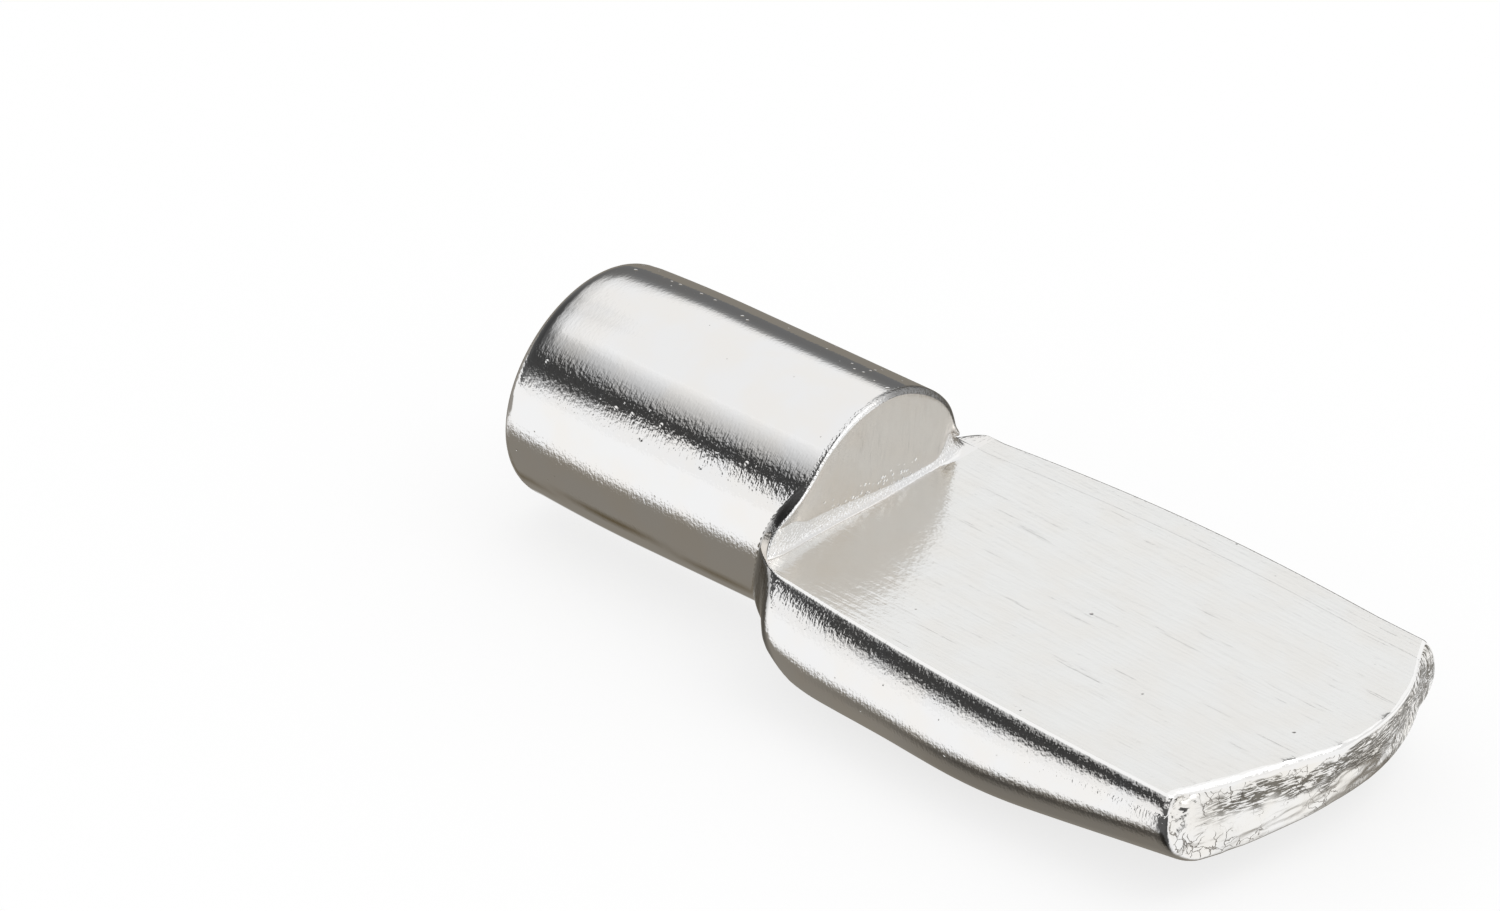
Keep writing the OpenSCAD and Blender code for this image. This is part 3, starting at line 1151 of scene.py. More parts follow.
@dataclass(frozen=True)
class BrightPlate(Finish):
    """Polished plating with fine grain and short hairlines round the wire.

    Spans give where each effect starts and ends on the pin, in millimetres. One that runs
    downward fades the effect out.
    """

    hair_size: Size = (0.06, 0.2, 0.2)
    hair_depth: float = 6.0
    swell_size: float = 1.1
    swell_depth: float = 2.5
    swell_heights: Span = (-0.2, 0.2)
    rough_shares: Span = (0.85, 1.15)
    calm: float = 0.2
    wire_low: Span = (0.8, 1.2)
    wire_high: Span = (2.3, 1.9)
    side_low: Span = (-1.4, -0.9)
    side_high: Span = (0.4, 0.2)
    under_high: Span = (-0.8, -1.3)
    under_start: Span = (2.0, 4.0)
    speck_cell: float = 0.24
    speck_size: float = 0.2
    speck_share: float = 0.35
    speck_depth: float = 14.0
    back_side: Span = (0.2, 0.7)
    back_low: Span = (1.8, 2.3)
    glint_size: float = 0.06
    glint_depth: float = 24.0
    glint_tops: Span = (0.03, 0.12)
    foot_start: Span = (1.4, 1.5)
    foot_low: Span = (0.3, 0.36)
    foot_high: Span = (1.2, 1.0)
    rim_start: Span = (1.76, 1.86)
    rim_low: Span = (0.9, 1.2)
    rim_end: Span = (2.1, 2.05)
    rim_far: Span = (-0.6, 0.6)
    # How dark the painted shade on the far side of the step's rim is.
    rim_shade_strength: float = 0.78
    # How dark the painted shade on the shoulder's hollow back is, where it lies, and its dark tint.
    shoulder_shade: float = 0.86
    shoulder_start: Span = (0.4, 1.0)
    shoulder_end: Span = (4.2, 3.4)
    shoulder_side: Span = (-2.6, -3.3)
    rearward: Span = (-0.22, -0.5)
    painted_shade_tint: Colour = (0.1, 0.1, 0.1)
    face_height: float = 0.28
    face_start: float = 2.0
    face_slope: float = 2.3
    edge_depth: Span = (-0.09, -0.04)
    edge_start: Span = (2.0, 2.6)
    # Painted highlight on the rolled edges: its strength and its near-white tint.
    edge_highlight: float = 0.8
    edge_highlight_tint: Colour = (1.0, 0.995, 0.985)

    def surface(self, nodes: Nodes, effects: Effects, place: Place) -> tuple[Socket, Socket, Socket]:
        """Colour, roughness and bump height of the plating."""
        tint, height = self.base(nodes, effects, place)
        wire = nodes.window(place.z, self.wire_low, self.wire_high)
        hairs = effects.grain_height(nodes, place, self.hair_size)
        swell = effects.grain_height(nodes, place, self.swell_size)
        height = nodes.plus(height, nodes.times(hairs, self.hair_depth))
        height = nodes.times(height, self.wear(nodes, place, wire))
        specks = nodes.times(self.specks(nodes, effects, place, wire), -self.speck_depth)
        height = nodes.plus(height, specks, nodes.times(swell, self.swell_depth))
        smoothest, roughest = (self.roughness * share for share in self.rough_shares)
        rough = nodes.ramp(swell, self.swell_heights, smoothest, roughest)
        at_rim = nodes.times(nodes.ramp(place.x, self.rim_start), nodes.ramp(place.z, self.rim_low))
        glints = effects.grain_height(nodes, place, self.glint_size)
        rough_edge = self.rough_edge(nodes, place, at_rim)
        height = nodes.plus(height, nodes.times(glints, rough_edge, self.glint_depth))
        # The tops of the rough glints on the step's rim and foot are painted white: a painted highlight.
        tint = nodes.mix(nodes.times(nodes.ramp(glints, self.glint_tops), rough_edge), tint, WHITE)
        # Painted highlight: the rolled edges round the bearing face are lightened toward a near-white
        # tint.
        edge_sheen = nodes.times(self.rolled_edge(nodes, place), self.edge_highlight)
        tint = nodes.mix(edge_sheen, tint, self.edge_highlight_tint)
        # Painted shade on the far side of the step's rim.
        far_rim_shade = nodes.times(at_rim, nodes.ramp(place.y, self.rim_far), self.rim_shade_strength)
        # Painted shade: the shoulder's hollow back and the step's far rim are darkened toward a dark
        # tint.
        dull = nodes.most(nodes.times(self.shoulder(nodes, place), self.shoulder_shade), far_rim_shade)
        return nodes.mix(dull, tint, self.painted_shade_tint), rough, height

    def wear(self, nodes: Nodes, place: Place, wire: Socket) -> Socket:
        """Strength of the grain, which is full on the drawn wire's sides and calm elsewhere."""
        side = nodes.window(place.z, self.side_low, self.side_high)
        under = nodes.times(nodes.ramp(place.z, self.under_high), nodes.ramp(place.x, self.under_start))
        return nodes.ramp(nodes.most(wire, side, under), (0.0, 1.0), self.calm, 1.0)

    def specks(self, nodes: Nodes, effects: Effects, place: Place, wire: Socket) -> Socket:
        """Mask of the deeper pits on the wire's upper side and back."""
        back = nodes.times(nodes.ramp(place.y, self.back_side), nodes.ramp(place.z, self.back_low))
        share = nodes.times(nodes.most(wire, back), self.speck_share)
        return effects.pit_mask(nodes, place, self.speck_cell, self.speck_size, share)

    def rough_edge(self, nodes: Nodes, place: Place, at_rim: Socket) -> Socket:
        """Mask of the step's rim and hollow foot, whose rough glints are bumped and carry painted
        highlights.
        """
        foot = nodes.window(place.z, self.foot_low, self.foot_high)
        foot = nodes.times(foot, nodes.ramp(place.x, self.foot_start))
        return nodes.times(nodes.most(foot, at_rim), nodes.ramp(place.x, self.rim_end))

    def shoulder(self, nodes: Nodes, place: Place) -> Socket:
        """Mask of the shoulder's hollow back on the near side, where shade is painted into the plating's
        tint.
        """
        root = nodes.window(place.x, self.shoulder_start, self.shoulder_end)
        near = nodes.ramp(place.y, self.shoulder_side)
        return nodes.times(root, near, nodes.ramp(place.facing, self.rearward))

    def rolled_edge(self, nodes: Nodes, place: Place) -> Socket:
        """Mask of the rolled edges round the bearing face, which carry a painted highlight."""
        slope = math.tan(math.radians(self.face_slope))
        start = self.face_height + self.face_start * slope
        below = nodes.plus(place.z, nodes.times(place.x, slope), -start)
        return nodes.times(nodes.ramp(below, self.edge_depth), nodes.ramp(place.x, self.edge_start))


@dataclass(frozen=True)
class Brushed(Finish):
    """Plating over brush lines or scratches that run one way.

    The spans of heights are of the lines, which are about 0.5 high at most. The shares give the
    roughness from the first height to the second, and in the dents that carry a painted highlight.
    """

    line_size: Size = (2.4, 0.05, 0.05)
    line_depth: float = 3.0
    line_tint: Colour = (0.52, 0.5, 0.47)
    line_share: float = 0.35
    faint_share: float = 0.1
    faint_heights: Span = (0.1, -0.22)
    rough_heights: Span = (-0.3, 0.3)
    rough_shares: Span = (1.2, 0.8)
    streak_stretch: Size = (0.9, 3.0, 3.0)
    streak_depth: float = 0.0
    glint_depth: float = 0.0
    glint_rough: float = 0.4
    glint_edge: Span = (0.0, 0.3)
    glint_cell: float = 0.1
    glint_size: float = 0.4
    glint_high: Span = (1.1, 0.7)
    glint_near: Span = (-2.2, -0.8)
    glint_far: Span = (2.0, 1.0)

    def surface(self, nodes: Nodes, effects: Effects, place: Place) -> tuple[Socket, Socket, Socket]:
        """Colour, roughness and bump height of the brushed plating."""
        tint, height = self.base(nodes, effects, place)
        lines = nodes.group(effects.lines, {"Vector": nodes.per_mm(place.point, self.line_size)})
        wide = tuple(size * stretch for size, stretch in zip(self.line_size, self.streak_stretch))
        streaks = effects.grain_height(nodes, place, wide)
        cuts = nodes.times(lines["Height"], self.line_depth)
        height = nodes.plus(height, cuts, nodes.times(streaks, self.streak_depth))
        faint = nodes.ramp(lines["Height"], self.faint_heights, 0.0, self.faint_share)
        drawn = nodes.plus(nodes.times(lines["Mask"], self.line_share), faint)
        tint = nodes.mix(drawn, tint, self.line_tint)
        low, high = (self.roughness * share for share in self.rough_shares)
        rough = nodes.ramp(lines["Height"], self.rough_heights, low, high)
        if self.glint_depth:
            glints = self.glints(nodes, effects, place)
            height = nodes.plus(height, nodes.times(glints, -self.glint_depth))
            rough = nodes.times(rough, nodes.ramp(glints, self.glint_edge, 1.0, self.glint_rough))
            # The dents are painted white: a painted highlight.
            tint = nodes.mix(glints, tint, WHITE)
        return tint, rough, height

    def glints(self, nodes: Nodes, effects: Effects, place: Place) -> Socket:
        """Mask of the small dents low on the step, which are painted white as highlights."""
        along = nodes.window(place.y, self.glint_near, self.glint_far)
        share = nodes.times(nodes.ramp(place.z, self.glint_high), along)
        return effects.pit_mask(nodes, place, self.glint_cell, self.glint_size, share)


@dataclass(frozen=True)
class Cropped(Finish):
    """Torn metal of the cropped end: a dull streaky patch, thin cracks and plating over them."""

    crack_cell: float = 0.33
    crack_bend: float = 2.4
    bend_size: float = 0.5
    crack_width: float = 0.045
    crack_depth: float = 12.0
    crack_dark: float = 0.75
    crack_tint: Colour = (0.2, 0.17, 0.14)
    broken_size: float = 0.8
    broken_share: Span = (0.42, 0.55)
    patch_top: Span = (-0.52, -0.68)
    patch_bottom: Span = (-1.45, -1.12)
    patch_side: Span = (-4.2, -3.2)
    patch_uneven: float = 1.2
    patch_dark: float = 0.92
    patch_tint: Colour = (0.13, 0.118, 0.095)
    streak_size: Size = (0.8, 0.3, 0.045)
    streak_share: Span = (0.45, 0.5)
    far_start: Span = (1.6, 2.6)
    far_dull: float = 0.7
    flake_size: Size = (0.8, 0.09, 0.3)
    flake_share: Span = (0.5, 0.54)
    relief_depth: float = 26.0
    patch_rough: float = 0.12

    def surface(self, nodes: Nodes, effects: Effects, place: Place) -> tuple[Socket, Socket, Socket]:
        """Colour, roughness and bump height of the torn metal."""
        tint, height = self.base(nodes, effects, place)
        broken = nodes.noise(nodes.per_mm(place.point, self.broken_size), 1.0)[0]
        uneven = nodes.times(nodes.maths("SUBTRACT", broken, 0.5), self.patch_uneven)
        patch = nodes.window(nodes.plus(place.z, uneven), self.patch_top, self.patch_bottom)
        patch = nodes.times(patch, nodes.ramp(place.y, self.patch_side))
        far = nodes.ramp(nodes.plus(place.y, uneven), self.far_start)
        streak = nodes.noise(nodes.per_mm(place.point, self.streak_size), 3.0)[0]
        flake = nodes.noise(nodes.per_mm(place.point, self.flake_size), 3.0)[0]
        lines = nodes.times(patch, nodes.ramp(streak, self.streak_share))
        flakes = nodes.times(far, nodes.ramp(flake, self.flake_share))
        tint = nodes.mix(nodes.times(nodes.most(lines, flakes), self.patch_dark), tint, self.patch_tint)
        crack = nodes.times(self.cracks(nodes, place), nodes.ramp(broken, self.broken_share))
        tint = nodes.mix(nodes.times(crack, self.crack_dark), tint, self.crack_tint)
        dull = nodes.most(patch, nodes.times(far, self.far_dull))
        relief = nodes.times(streak, dull, self.relief_depth)
        height = nodes.plus(height, relief, nodes.times(crack, -self.crack_depth))
        rough = nodes.ramp(dull, (0.0, 1.0), self.roughness, self.roughness + self.patch_rough)
        return tint, rough, height

    def cracks(self, nodes: Nodes, place: Place) -> Socket:
        """Mask of a net of thin, bent cracks."""
        warp = nodes.noise(nodes.per_mm(place.point, self.bend_size), 4.0)[1]
        net = nodes.per_mm(place.point, self.crack_cell)
        bent = {0: net, 1: nodes.stretch(warp, (self.crack_bend,) * 3)}
        vector = nodes.add("VectorMath", bent, operation="ADD").outputs[0]
        cells = nodes.add("TexVoronoi", {"Vector": vector, "Scale": 1.0}, feature="DISTANCE_TO_EDGE")
        return nodes.ramp(cells.outputs[0], (self.crack_width, 0.0))


FINISHES: dict[Zone, Finish] = {
    Zone.PLATE: BrightPlate(
        "bright_plate",
        (0.89, 0.89, 0.892),
        (0.895, 0.878, 0.855),
        0.035,
        grain_depth=6.0,
        pit_size=0.11,
        pit_share=0.14,
        pit_cell=0.3,
        pit_depth=9.0,
    ),
    Zone.FACE: Brushed(
        "brushed_face",
        (0.875, 0.877, 0.865),
        (0.87, 0.86, 0.835),
        0.18,
        grain_size=0.14,
        grain_depth=7.0,
        pit_share=0.1,
        line_size=(2.2, 0.055, 0.055),
        line_depth=3.5,
        line_share=0.07,
        faint_share=0.05,
        streak_depth=11.0,
    ),
    # The step's tint is darker and warmer than the plating's: partly its own scratched metal, partly
    # painted shade for the dim light its upright wall mirrors.
    Zone.STEP: Brushed(
        "scratched_step",
        (0.77, 0.736, 0.69),
        (0.75, 0.7, 0.638),
        0.22,
        line_size=(0.05, 0.05, 1.6),
        line_depth=3.5,
        line_share=0.5,
        faint_share=0.18,
        glint_depth=14.0,
    ),
    Zone.CROP: Cropped(
        "cropped_end",
        (0.9, 0.895, 0.885),
        (0.88, 0.855, 0.81),
        0.12,
        grain_size=0.13,
        grain_depth=7.0,
        pit_share=0.2,
        pit_cell=0.3,
    ),
}


# ---------------------------------------------------------------- studio


@dataclass(frozen=True)
class Post:
    """Heights in degrees and brightnesses of a reflected screen at one azimuth, from low to high."""

    azimuth: float
    heights: tuple[float, ...]
    tones: tuple[float, ...]


@dataclass(frozen=True)
class Dome:
    """Part of a dome whose tone is given at some azimuths, with as many heights at each."""

    name: str
    radius: float
    posts: tuple[Post, ...]
    step: float = 3.0

    def points(self) -> tuple[np.ndarray, np.ndarray, int]:
        """Points of the dome.

        Returns:
            The places in metres, the tone of each, and how many points are in a row.
        """
        posts = self.posts
        azimuths = np.arange(posts[0].azimuth, posts[-1].azimuth + 1, self.step)
        known = [post.azimuth for post in posts]
        around = np.radians(azimuths)
        places, tones = [], []
        for k in range(len(posts[0].heights)):
            up = np.radians(np.interp(azimuths, known, [post.heights[k] for post in posts]))
            flat = np.cos(up)
            places.append(np.column_stack([np.cos(around) * flat, np.sin(around) * flat, np.sin(up)]))
            tones.append(np.interp(azimuths, known, [post.tones[k] for post in posts]))
        return np.vstack(places) * self.radius, np.concatenate(tones), len(azimuths)


DIM_POSTS = (
    Post(60.0, (-2, 4, 8, 11, 14, 17, 20, 24), (0.9, 0.9, 0.9, 0.9, 0.9, 0.9, 0.93, 0.95)),
    Post(90.0, (-2, 4, 8, 11, 14, 17, 20, 24), (0.8, 0.8, 0.8, 0.8, 0.85, 0.9, 0.93, 0.95)),
    Post(108.0, (-2, 4, 8, 11, 14, 17, 20, 24), (0.15, 0.14, 0.14, 0.14, 0.2, 0.4, 0.8, 0.95)),
    Post(127.0, (-2, 5, 10, 15, 18.3, 20.3, 22, 25), (0.16, 0.15, 0.15, 0.17, 0.25, 0.5, 0.78, 0.95)),
    Post(150.0, (-2, 8, 16, 24, 30, 34, 38, 44), (0.17, 0.15, 0.13, 0.12, 0.13, 0.4, 0.75, 0.95)),
    Post(165.0, (-2, 8, 18, 30, 38, 42, 46, 52), (0.13, 0.1, 0.08, 0.07, 0.1, 0.4, 0.75, 0.95)),
    Post(180.0, (-2, 6, 14, 28, 40, 44, 48, 54), (0.13, 0.1, 0.07, 0.06, 0.08, 0.4, 0.75, 0.95)),
    Post(205.0, (-1, 6, 14, 28, 37, 40.5, 43.5, 48), (0.13, 0.1, 0.06, 0.05, 0.1, 0.45, 0.86, 0.98)),
    Post(218.0, (0, 8, 16, 27, 32, 38, 44.5, 53), (0.2, 0.12, 0.06, 0.05, 0.2, 0.54, 0.78, 0.96)),
    Post(231.0, (7, 12.8, 17, 27.7, 29.8, 35, 42, 50), (0.97, 0.5, 0.06, 0.04, 0.25, 0.5, 0.7, 0.93)),
    Post(280.0, (7, 12.8, 17, 27.7, 29.8, 35, 42, 50), (0.97, 0.5, 0.06, 0.04, 0.25, 0.5, 0.7, 0.93)),
)
FRONT_POSTS = (
    Post(266.0, (-2, 14, 20, 26), (0.1, 0.1, 0.4, 0.94)),
    Post(280.0, (-2, 25, 29, 34), (0.1, 0.1, 0.4, 0.94)),
    Post(340.0, (-2, 25, 29, 34), (0.1, 0.1, 0.4, 0.94)),
    Post(352.0, (-2, 8, 14, 20), (0.94, 0.94, 0.94, 0.94)),
)
SIDE_POSTS = (
    Post(-40.0, (22, 34, 44, 58, 70, 82), (0.93, 1.1, 1.5, 1.8, 1.5, 0.95)),
    Post(5.0, (20, 32, 42, 58, 72, 84), (0.93, 1.1, 1.8, 2.2, 1.6, 0.95)),
    Post(22.0, (8, 16, 44, 52, 68, 82), (0.85, 0.8, 0.8, 1.6, 1.8, 0.95)),
    Post(48.0, (8, 16, 44, 52, 68, 82), (0.85, 0.8, 0.8, 1.3, 1.6, 0.95)),
    Post(74.0, (8, 16, 44, 52, 66, 82), (0.85, 0.8, 0.8, 1.0, 1.3, 0.95)),
    Post(88.0, (24, 30, 40, 50, 66, 82), (0.93, 0.95, 0.98, 1.02, 1.3, 0.95)),
    Post(108.0, (30, 38, 46, 56, 68, 82), (0.93, 0.93, 1.0, 1.2, 1.2, 0.95)),
)
DOMES = (
    Dome("dim_screen", 0.6, DIM_POSTS),
    Dome("front_screen", 0.65, FRONT_POSTS),
    Dome("side_light", 0.55, SIDE_POSTS),
)


@dataclass(frozen=True)
class TableShade:
    """The pin's own shade on the floor, as its polished metal mirrors it. Sizes in millimetres.

    The floor itself stays pale. The shade is dark under and behind the pin, ends along soft
    edges, and is left out in a strip that the shoulder mirrors. A span gives where an edge
    starts and where it is full, and a slant how far it moves along x for each millimetre of y.
    """

    dim: Colour = (0.24, 0.22, 0.19)
    lift: float = 0.05
    columns: tuple[Grid, Grid] = ((-500.0, -50.0, 12), (-45.0, 30.0, 151))
    rows: tuple[Grid, Grid] = ((-60.0, -13.5, 40), (-13.0, 12.0, 64))
    far_rows: Grid = (12.5, 620.0, 60)
    front_y: float = -7.2
    front_soft: float = 1.6
    blade_at: Span = (-2.0, 1.0)
    blade_ahead: float = 0.65
    blade_soft: float = 1.2
    left: Span = (-14.0, -11.0)
    left_slant: float = 3.0
    left_slant_from: float = -2.0
    right: Span = (16.5, 15.3)
    right_slant: float = 0.2
    right_cut: float = 2.2
    right_cut_at: Span = (3.5, 7.5)
    strip_pale: float = 0.75
    strip_near: Span = (-1.45, -1.1)
    strip_far: Span = (3.0, 2.0)
    strip_left: Span = (-8.6, -7.6)
    strip_right: Span = (1.5, 0.5)
    line_dark: float = 0.22
    line_y: float = -2.5
    line_width: float = 0.14
    line_wave: float = 0.12
    line_wave_rate: float = 0.9
    behind_dark: float = 0.9
    behind_edge: Span = (-12.5, -15.0)
    behind_slant: float = 0.69
    behind_slant_from: float = -3.0
    behind_far: Span = (-5.0, -3.0)
    behind_near: Span = (-9.0, -6.0)
    behind_near_left: Span = (-24.0, -21.0)
    corner_dark: float = 0.9
    corner_left: Span = (14.0, 15.5)
    corner_slant: float = 0.5
    corner_slant_from: float = -4.5
    corner_right: Span = (28.0, 26.0)
    corner_far: Span = (-5.2, -5.8)
    corner_far_slope: float = 0.18
    corner_far_from: float = 12.8
    seam_dark: float = 0.55
    seam_y: float = -6.2
    seam_width: float = 0.5
    seam_left: Span = (0.5, 7.5)
    seam_right: Span = (15.0, 13.0)
    belly_dark: float = 0.2
    belly_left: Span = (5.0, 8.0)
    belly_far: Span = (-4.0, -4.6)

    def points(self, floor_z: float) -> tuple[np.ndarray, np.ndarray, int]:
        """Points of the shade, which lie closer together where it has more detail.

        Args:
            floor_z: height of the floor in metres.

        Returns:
            The places in metres, the tint of each, and how many points are in a row.
        """
        xs = np.concatenate([np.linspace(*grid) for grid in self.columns])
        ys = np.concatenate([*(np.linspace(*grid) for grid in self.rows), np.geomspace(*self.far_rows)])
        x, y = (grid.ravel() for grid in np.meshgrid(xs, ys))
        places = np.column_stack([x * MM, y * MM, np.full_like(x, floor_z + self.lift * MM)])
        mask = np.maximum(self.cover(x, y), self.behind_dark * self.behind(x, y))[:, None]
        tints = 1.0 + (np.array(self.dim) - 1.0) * mask
        return places, tints * (self.corner(x, y) * self.deeper(x, y))[:, None], len(xs)

    def front(self, x: np.ndarray, y: np.ndarray) -> np.ndarray:
        """Soft front edge of the shade, which steps forward along the blade."""
        along = rise(x, *self.blade_at)
        start = self.front_y - self.blade_ahead * along
        return rise(y, start, start + self.front_soft + (self.blade_soft - self.front_soft) * along)

    def cover(self, x: np.ndarray, y: np.ndarray) -> np.ndarray:
        """Share of the shade under the pin, 0 to 1, without its pale strip and with a thin line."""
        front = self.front(x, y)
        left = rise(x + self.left_slant * np.maximum(y - self.left_slant_from, 0.0), *self.left)
        cut = np.clip(y, *self.right_cut_at) - self.right_cut_at[0]
        right = rise(x - self.right_slant * np.maximum(y, 0.0) + self.right_cut * cut, *self.right)
        strip = rise(y, *self.strip_near) * rise(y, *self.strip_far)
        strip *= rise(x, *self.strip_left) * rise(x, *self.strip_right)
        off = y - self.line_y + self.line_wave * np.sin(self.line_wave_rate * x)
        line = self.line_dark * np.exp(-((off / self.line_width) ** 2))
        return front * left * right * (1 - self.strip_pale * strip) + line * front * left

    def behind(self, x: np.ndarray, y: np.ndarray) -> np.ndarray:
        """Share of the wide shade beyond the free end, 0 to 1."""
        near = rise(x, *self.behind_near_left) * rise(y, *self.behind_near)
        slanted = x - self.behind_slant * np.minimum(y - self.behind_slant_from, 0.0)
        return rise(slanted, *self.behind_edge) * np.maximum(near, rise(y, *self.behind_far))

    def corner(self, x: np.ndarray, y: np.ndarray) -> np.ndarray:
        """Brightness of the dark patch that the cropped end's near corner mirrors."""
        patch = rise(x - self.corner_slant * (y - self.corner_slant_from), *self.corner_left)
        patch *= rise(x, *self.corner_right)
        patch *= rise(y - self.corner_far_slope * (x - self.corner_far_from), *self.corner_far)
        return 1 - self.corner_dark * patch

    def deeper(self, x: np.ndarray, y: np.ndarray) -> np.ndarray:
        """Brightness of the dark seam and belly that the blade's flank mirrors."""
        seam = np.exp(-(((y - self.seam_y) / self.seam_width) ** 2))
        seam *= rise(x, *self.seam_left) * rise(x, *self.seam_right)
        belly = self.front(x, y) * rise(x, *self.belly_left) * rise(y, *self.belly_far)
        return 1 - self.seam_dark * seam - self.belly_dark * belly


@dataclass(frozen=True)
class RootCard:
    """Small pale card beside the shoulder, which keeps the flank's dark band thin at its root.

    Sizes are in millimetres. Seen from the blade's edge, the card is pale up to an angle and
    dark above it.
    """

    away: float = 15.5
    y: float = -16.0
    across: Grid = (-14.0, -6.0, 33)
    heights: Grid = (0.5, 8.2, 40)
    seen_from: float = -0.1
    limit: float = 14.9
    soft: float = 2.1
    lift: float = 10.0
    lift_right: Span = (-6.8, -10.4)
    lift_left: Span = (-14.0, -12.5)
    pale: float = 0.95
    dark: float = 0.06

    def points(self) -> tuple[np.ndarray, np.ndarray, int]:
        """Points of the card.

        Returns:
            The places in metres, the tone of each, and how many points are in a row.
        """
        xs = np.linspace(*self.across)
        x, z = (grid.ravel() for grid in np.meshgrid(xs, np.linspace(*self.heights)))
        lifted = rise(x, *self.lift_right) * rise(x, *self.lift_left)
        angle = np.degrees(np.arctan2(z - self.seen_from, self.away))
        above = (angle - self.limit - self.lift * lifted) / (2 * self.soft) + 0.5
        tones = self.pale + (self.dark - self.pale) * np.clip(above, 0.0, 1.0)
        return np.column_stack([x, np.full_like(x, self.y), z]) * MM, tones, len(xs)


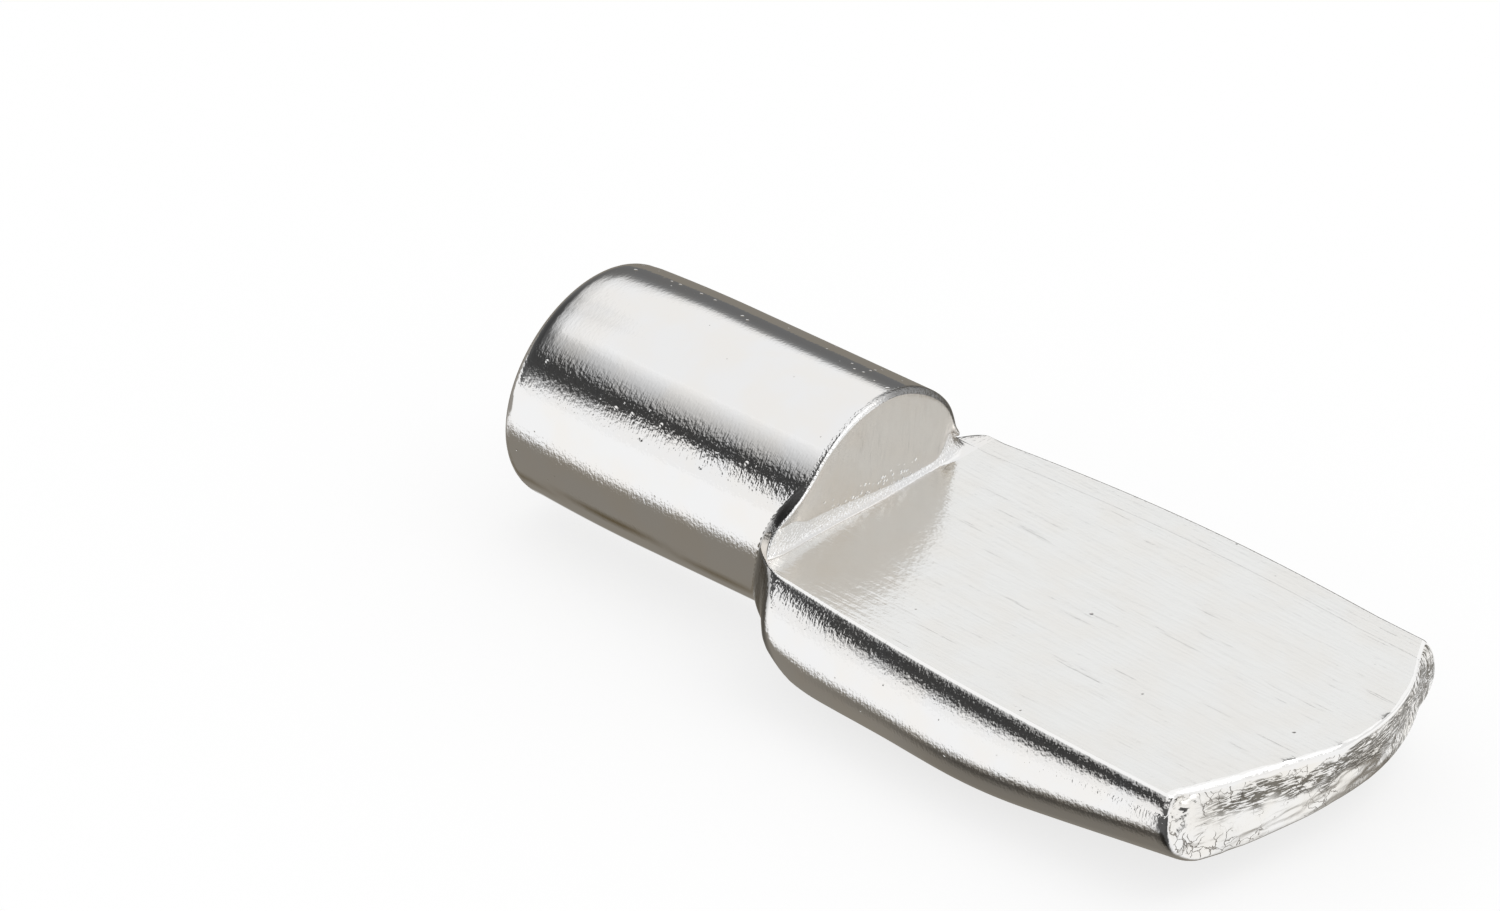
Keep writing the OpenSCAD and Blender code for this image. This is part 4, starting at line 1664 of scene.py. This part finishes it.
@dataclass
class Studio:
    """Pale floor, even light, screens that only the metal mirrors, and the camera."""

    floor_z: float
    floor_size: float = 3.0
    floor_tone: float = 0.97
    floor_white: float = 0.75
    sky: float = 0.94
    lamp_place: tuple[float, float, float] = (0.25, 0.1, 0.6)
    lamp_size: float = 0.5
    lamp_power: float = 0.5
    view_azimuth: float = 40.752
    view_elevation: float = 30.885
    view_roll: float = 1.236
    view_distance: float = 0.28541
    view_aim: tuple[float, float, float] = (-0.00213, 0.0, -0.0001)
    lens: float = 288.0
    sensor: float = 36.0

    def build(self) -> None:
        """Builds the whole studio."""
        self.floor()
        self.world()
        for dome in DOMES:
            self.mirrored_only(dome.name, *dome.points())
        self.mirrored_only("table_shade", *TableShade().points(self.floor_z))
        self.mirrored_only("root_card", *RootCard().points())
        self.lamp()
        self.camera()

    def floor(self) -> None:
        """Wide pale floor that the pin rests on."""
        size = self.floor_size
        mesh = bpy.data.meshes.new("floor")
        corners = [(-size, -size), (size, -size), (size, size), (-size, size)]
        mesh.from_pydata([(x, y, self.floor_z) for x, y in corners], [], [(0, 1, 2, 3)])
        floor = bpy.data.objects.new("floor", mesh)
        bpy.context.scene.collection.objects.link(floor)
        mat = bpy.data.materials.new("pale_floor")
        mat.use_nodes = True
        nodes = Nodes(mat.node_tree)
        shader = mat.node_tree.nodes["Principled BSDF"]
        shader.inputs["Base Color"].default_value = (*(self.floor_tone,) * 3, 1.0)
        shader.inputs["Roughness"].default_value = 0.9
        shader.inputs["Specular IOR Level"].default_value = 0.0
        path = nodes.add("LightPath").outputs
        seen = nodes.most(path["Is Camera Ray"], path["Is Glossy Ray"], path["Is Transmission Ray"])
        white = nodes.add("Emission", {"Color": (1.0, 1.0, 1.0, 1.0), "Strength": 1.0})
        share = nodes.times(seen, self.floor_white)
        both = nodes.add("MixShader", {0: share, 1: shader.outputs[0], 2: white.outputs[0]})
        nodes.fill(mat.node_tree.nodes["Material Output"], {0: both.outputs[0]})
        mesh.materials.append(mat)

    def world(self) -> None:
        """Even white light from all round."""
        world = bpy.data.worlds.new("studio_light")
        world.use_nodes = True
        back = world.node_tree.nodes["Background"]
        back.inputs["Color"].default_value = (1.0, 1.0, 1.0, 1.0)
        back.inputs["Strength"].default_value = self.sky
        bpy.context.scene.world = world

    @staticmethod
    def glow(name: str) -> bpy.types.Material:
        """Material that shows a mesh's own tones, unlit."""
        mat = bpy.data.materials.new(name)
        mat.use_nodes = True
        tree = mat.node_tree
        tree.nodes.clear()
        nodes = Nodes(tree)
        tone = nodes.add("VertexColor", layer_name="tone").outputs["Color"]
        light = nodes.add("Emission", {"Color": tone}).outputs["Emission"]
        nodes.add("OutputMaterial", {"Surface": light})
        mat.cycles.emission_sampling = "NONE"
        return mat

    def mirrored_only(self, name: str, places: np.ndarray, tones: np.ndarray, wide: int) -> None:
        """Grid of toned points that only mirrors show, as a screen outside the picture would.

        Args:
            name: name of the screen.
            places: rows of x, y and z in metres, one row of the grid after another.
            tones: a tone or a tint for each point.
            wide: how many points are in a row of the grid.
        """
        faces = [
            (k + j, k + j + 1, k + wide + j + 1, k + wide + j)
            for k in range(0, len(places) - wide, wide)
            for j in range(wide - 1)
        ]
        tints = tones if tones.ndim == 2 else np.repeat(tones[:, None], 3, axis=1)
        mesh = bpy.data.meshes.new(name)
        mesh.from_pydata(places.tolist(), [], faces)
        layer = mesh.color_attributes.new("tone", "FLOAT_COLOR", "POINT")
        layer.data.foreach_set("color", np.column_stack([tints, np.ones(len(tints))]).ravel())
        mesh.materials.append(self.glow(name + "_tone"))
        screen = bpy.data.objects.new(name, mesh)
        bpy.context.scene.collection.objects.link(screen)
        screen.visible_camera = False
        screen.visible_diffuse = False
        screen.visible_shadow = False
        screen.visible_transmission = False

    def lamp(self) -> None:
        """One soft lamp over the set."""
        lamp = bpy.data.lights.new("soft_lamp", "AREA")
        lamp.shape = "DISK"
        lamp.size = self.lamp_size
        lamp.energy = self.lamp_power
        holder = bpy.data.objects.new("soft_lamp", lamp)
        holder.location = self.lamp_place
        holder.rotation_euler = Vector(self.lamp_place).to_track_quat("Z", "Y").to_euler()
        holder.visible_glossy = False
        bpy.context.scene.collection.objects.link(holder)

    def camera(self) -> None:
        """Camera on a long lens, above and in front of the blade."""
        angles = (self.view_azimuth, self.view_elevation, self.view_roll)
        az, el, roll = (math.radians(angle) for angle in angles)
        back = Vector((math.sin(az) * math.cos(el), -math.cos(az) * math.cos(el), math.sin(el)))
        level = Vector((math.cos(az), math.sin(az), 0.0))
        right = level * math.cos(roll) + back.cross(level) * math.sin(roll)
        up = back.cross(right)
        data = bpy.data.cameras.new("camera")
        data.lens = self.lens
        data.sensor_width = self.sensor
        data.sensor_fit = "HORIZONTAL"
        data.clip_start = 0.01
        data.clip_end = 20.0
        camera = bpy.data.objects.new("camera", data)
        turn = Matrix((right, up, back)).transposed().to_4x4()
        place = Vector(self.view_aim) + back * self.view_distance
        camera.matrix_world = Matrix.Translation(place) @ turn
        bpy.context.scene.collection.objects.link(camera)
        bpy.context.scene.camera = camera


def main() -> None:
    """Builds the pin and the studio."""
    logging.basicConfig(level=logging.INFO, format="%(message)s")
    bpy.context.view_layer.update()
    pin = PinBody().build()
    effects = Effects()
    for zone in Zone:
        pin.data.materials.append(FINISHES[zone].material(effects))
    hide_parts("support_pin")
    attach(pin, "root")
    LOG.info("%s: %d points, %d faces", pin.name, len(pin.data.vertices), len(pin.data.polygons))
    low = min(v.co.z for v in pin.data.vertices)
    Studio(floor_z=low).build()
    bpy.context.scene.view_settings.view_transform = "Standard"


if __name__ == "__main__":
    main()
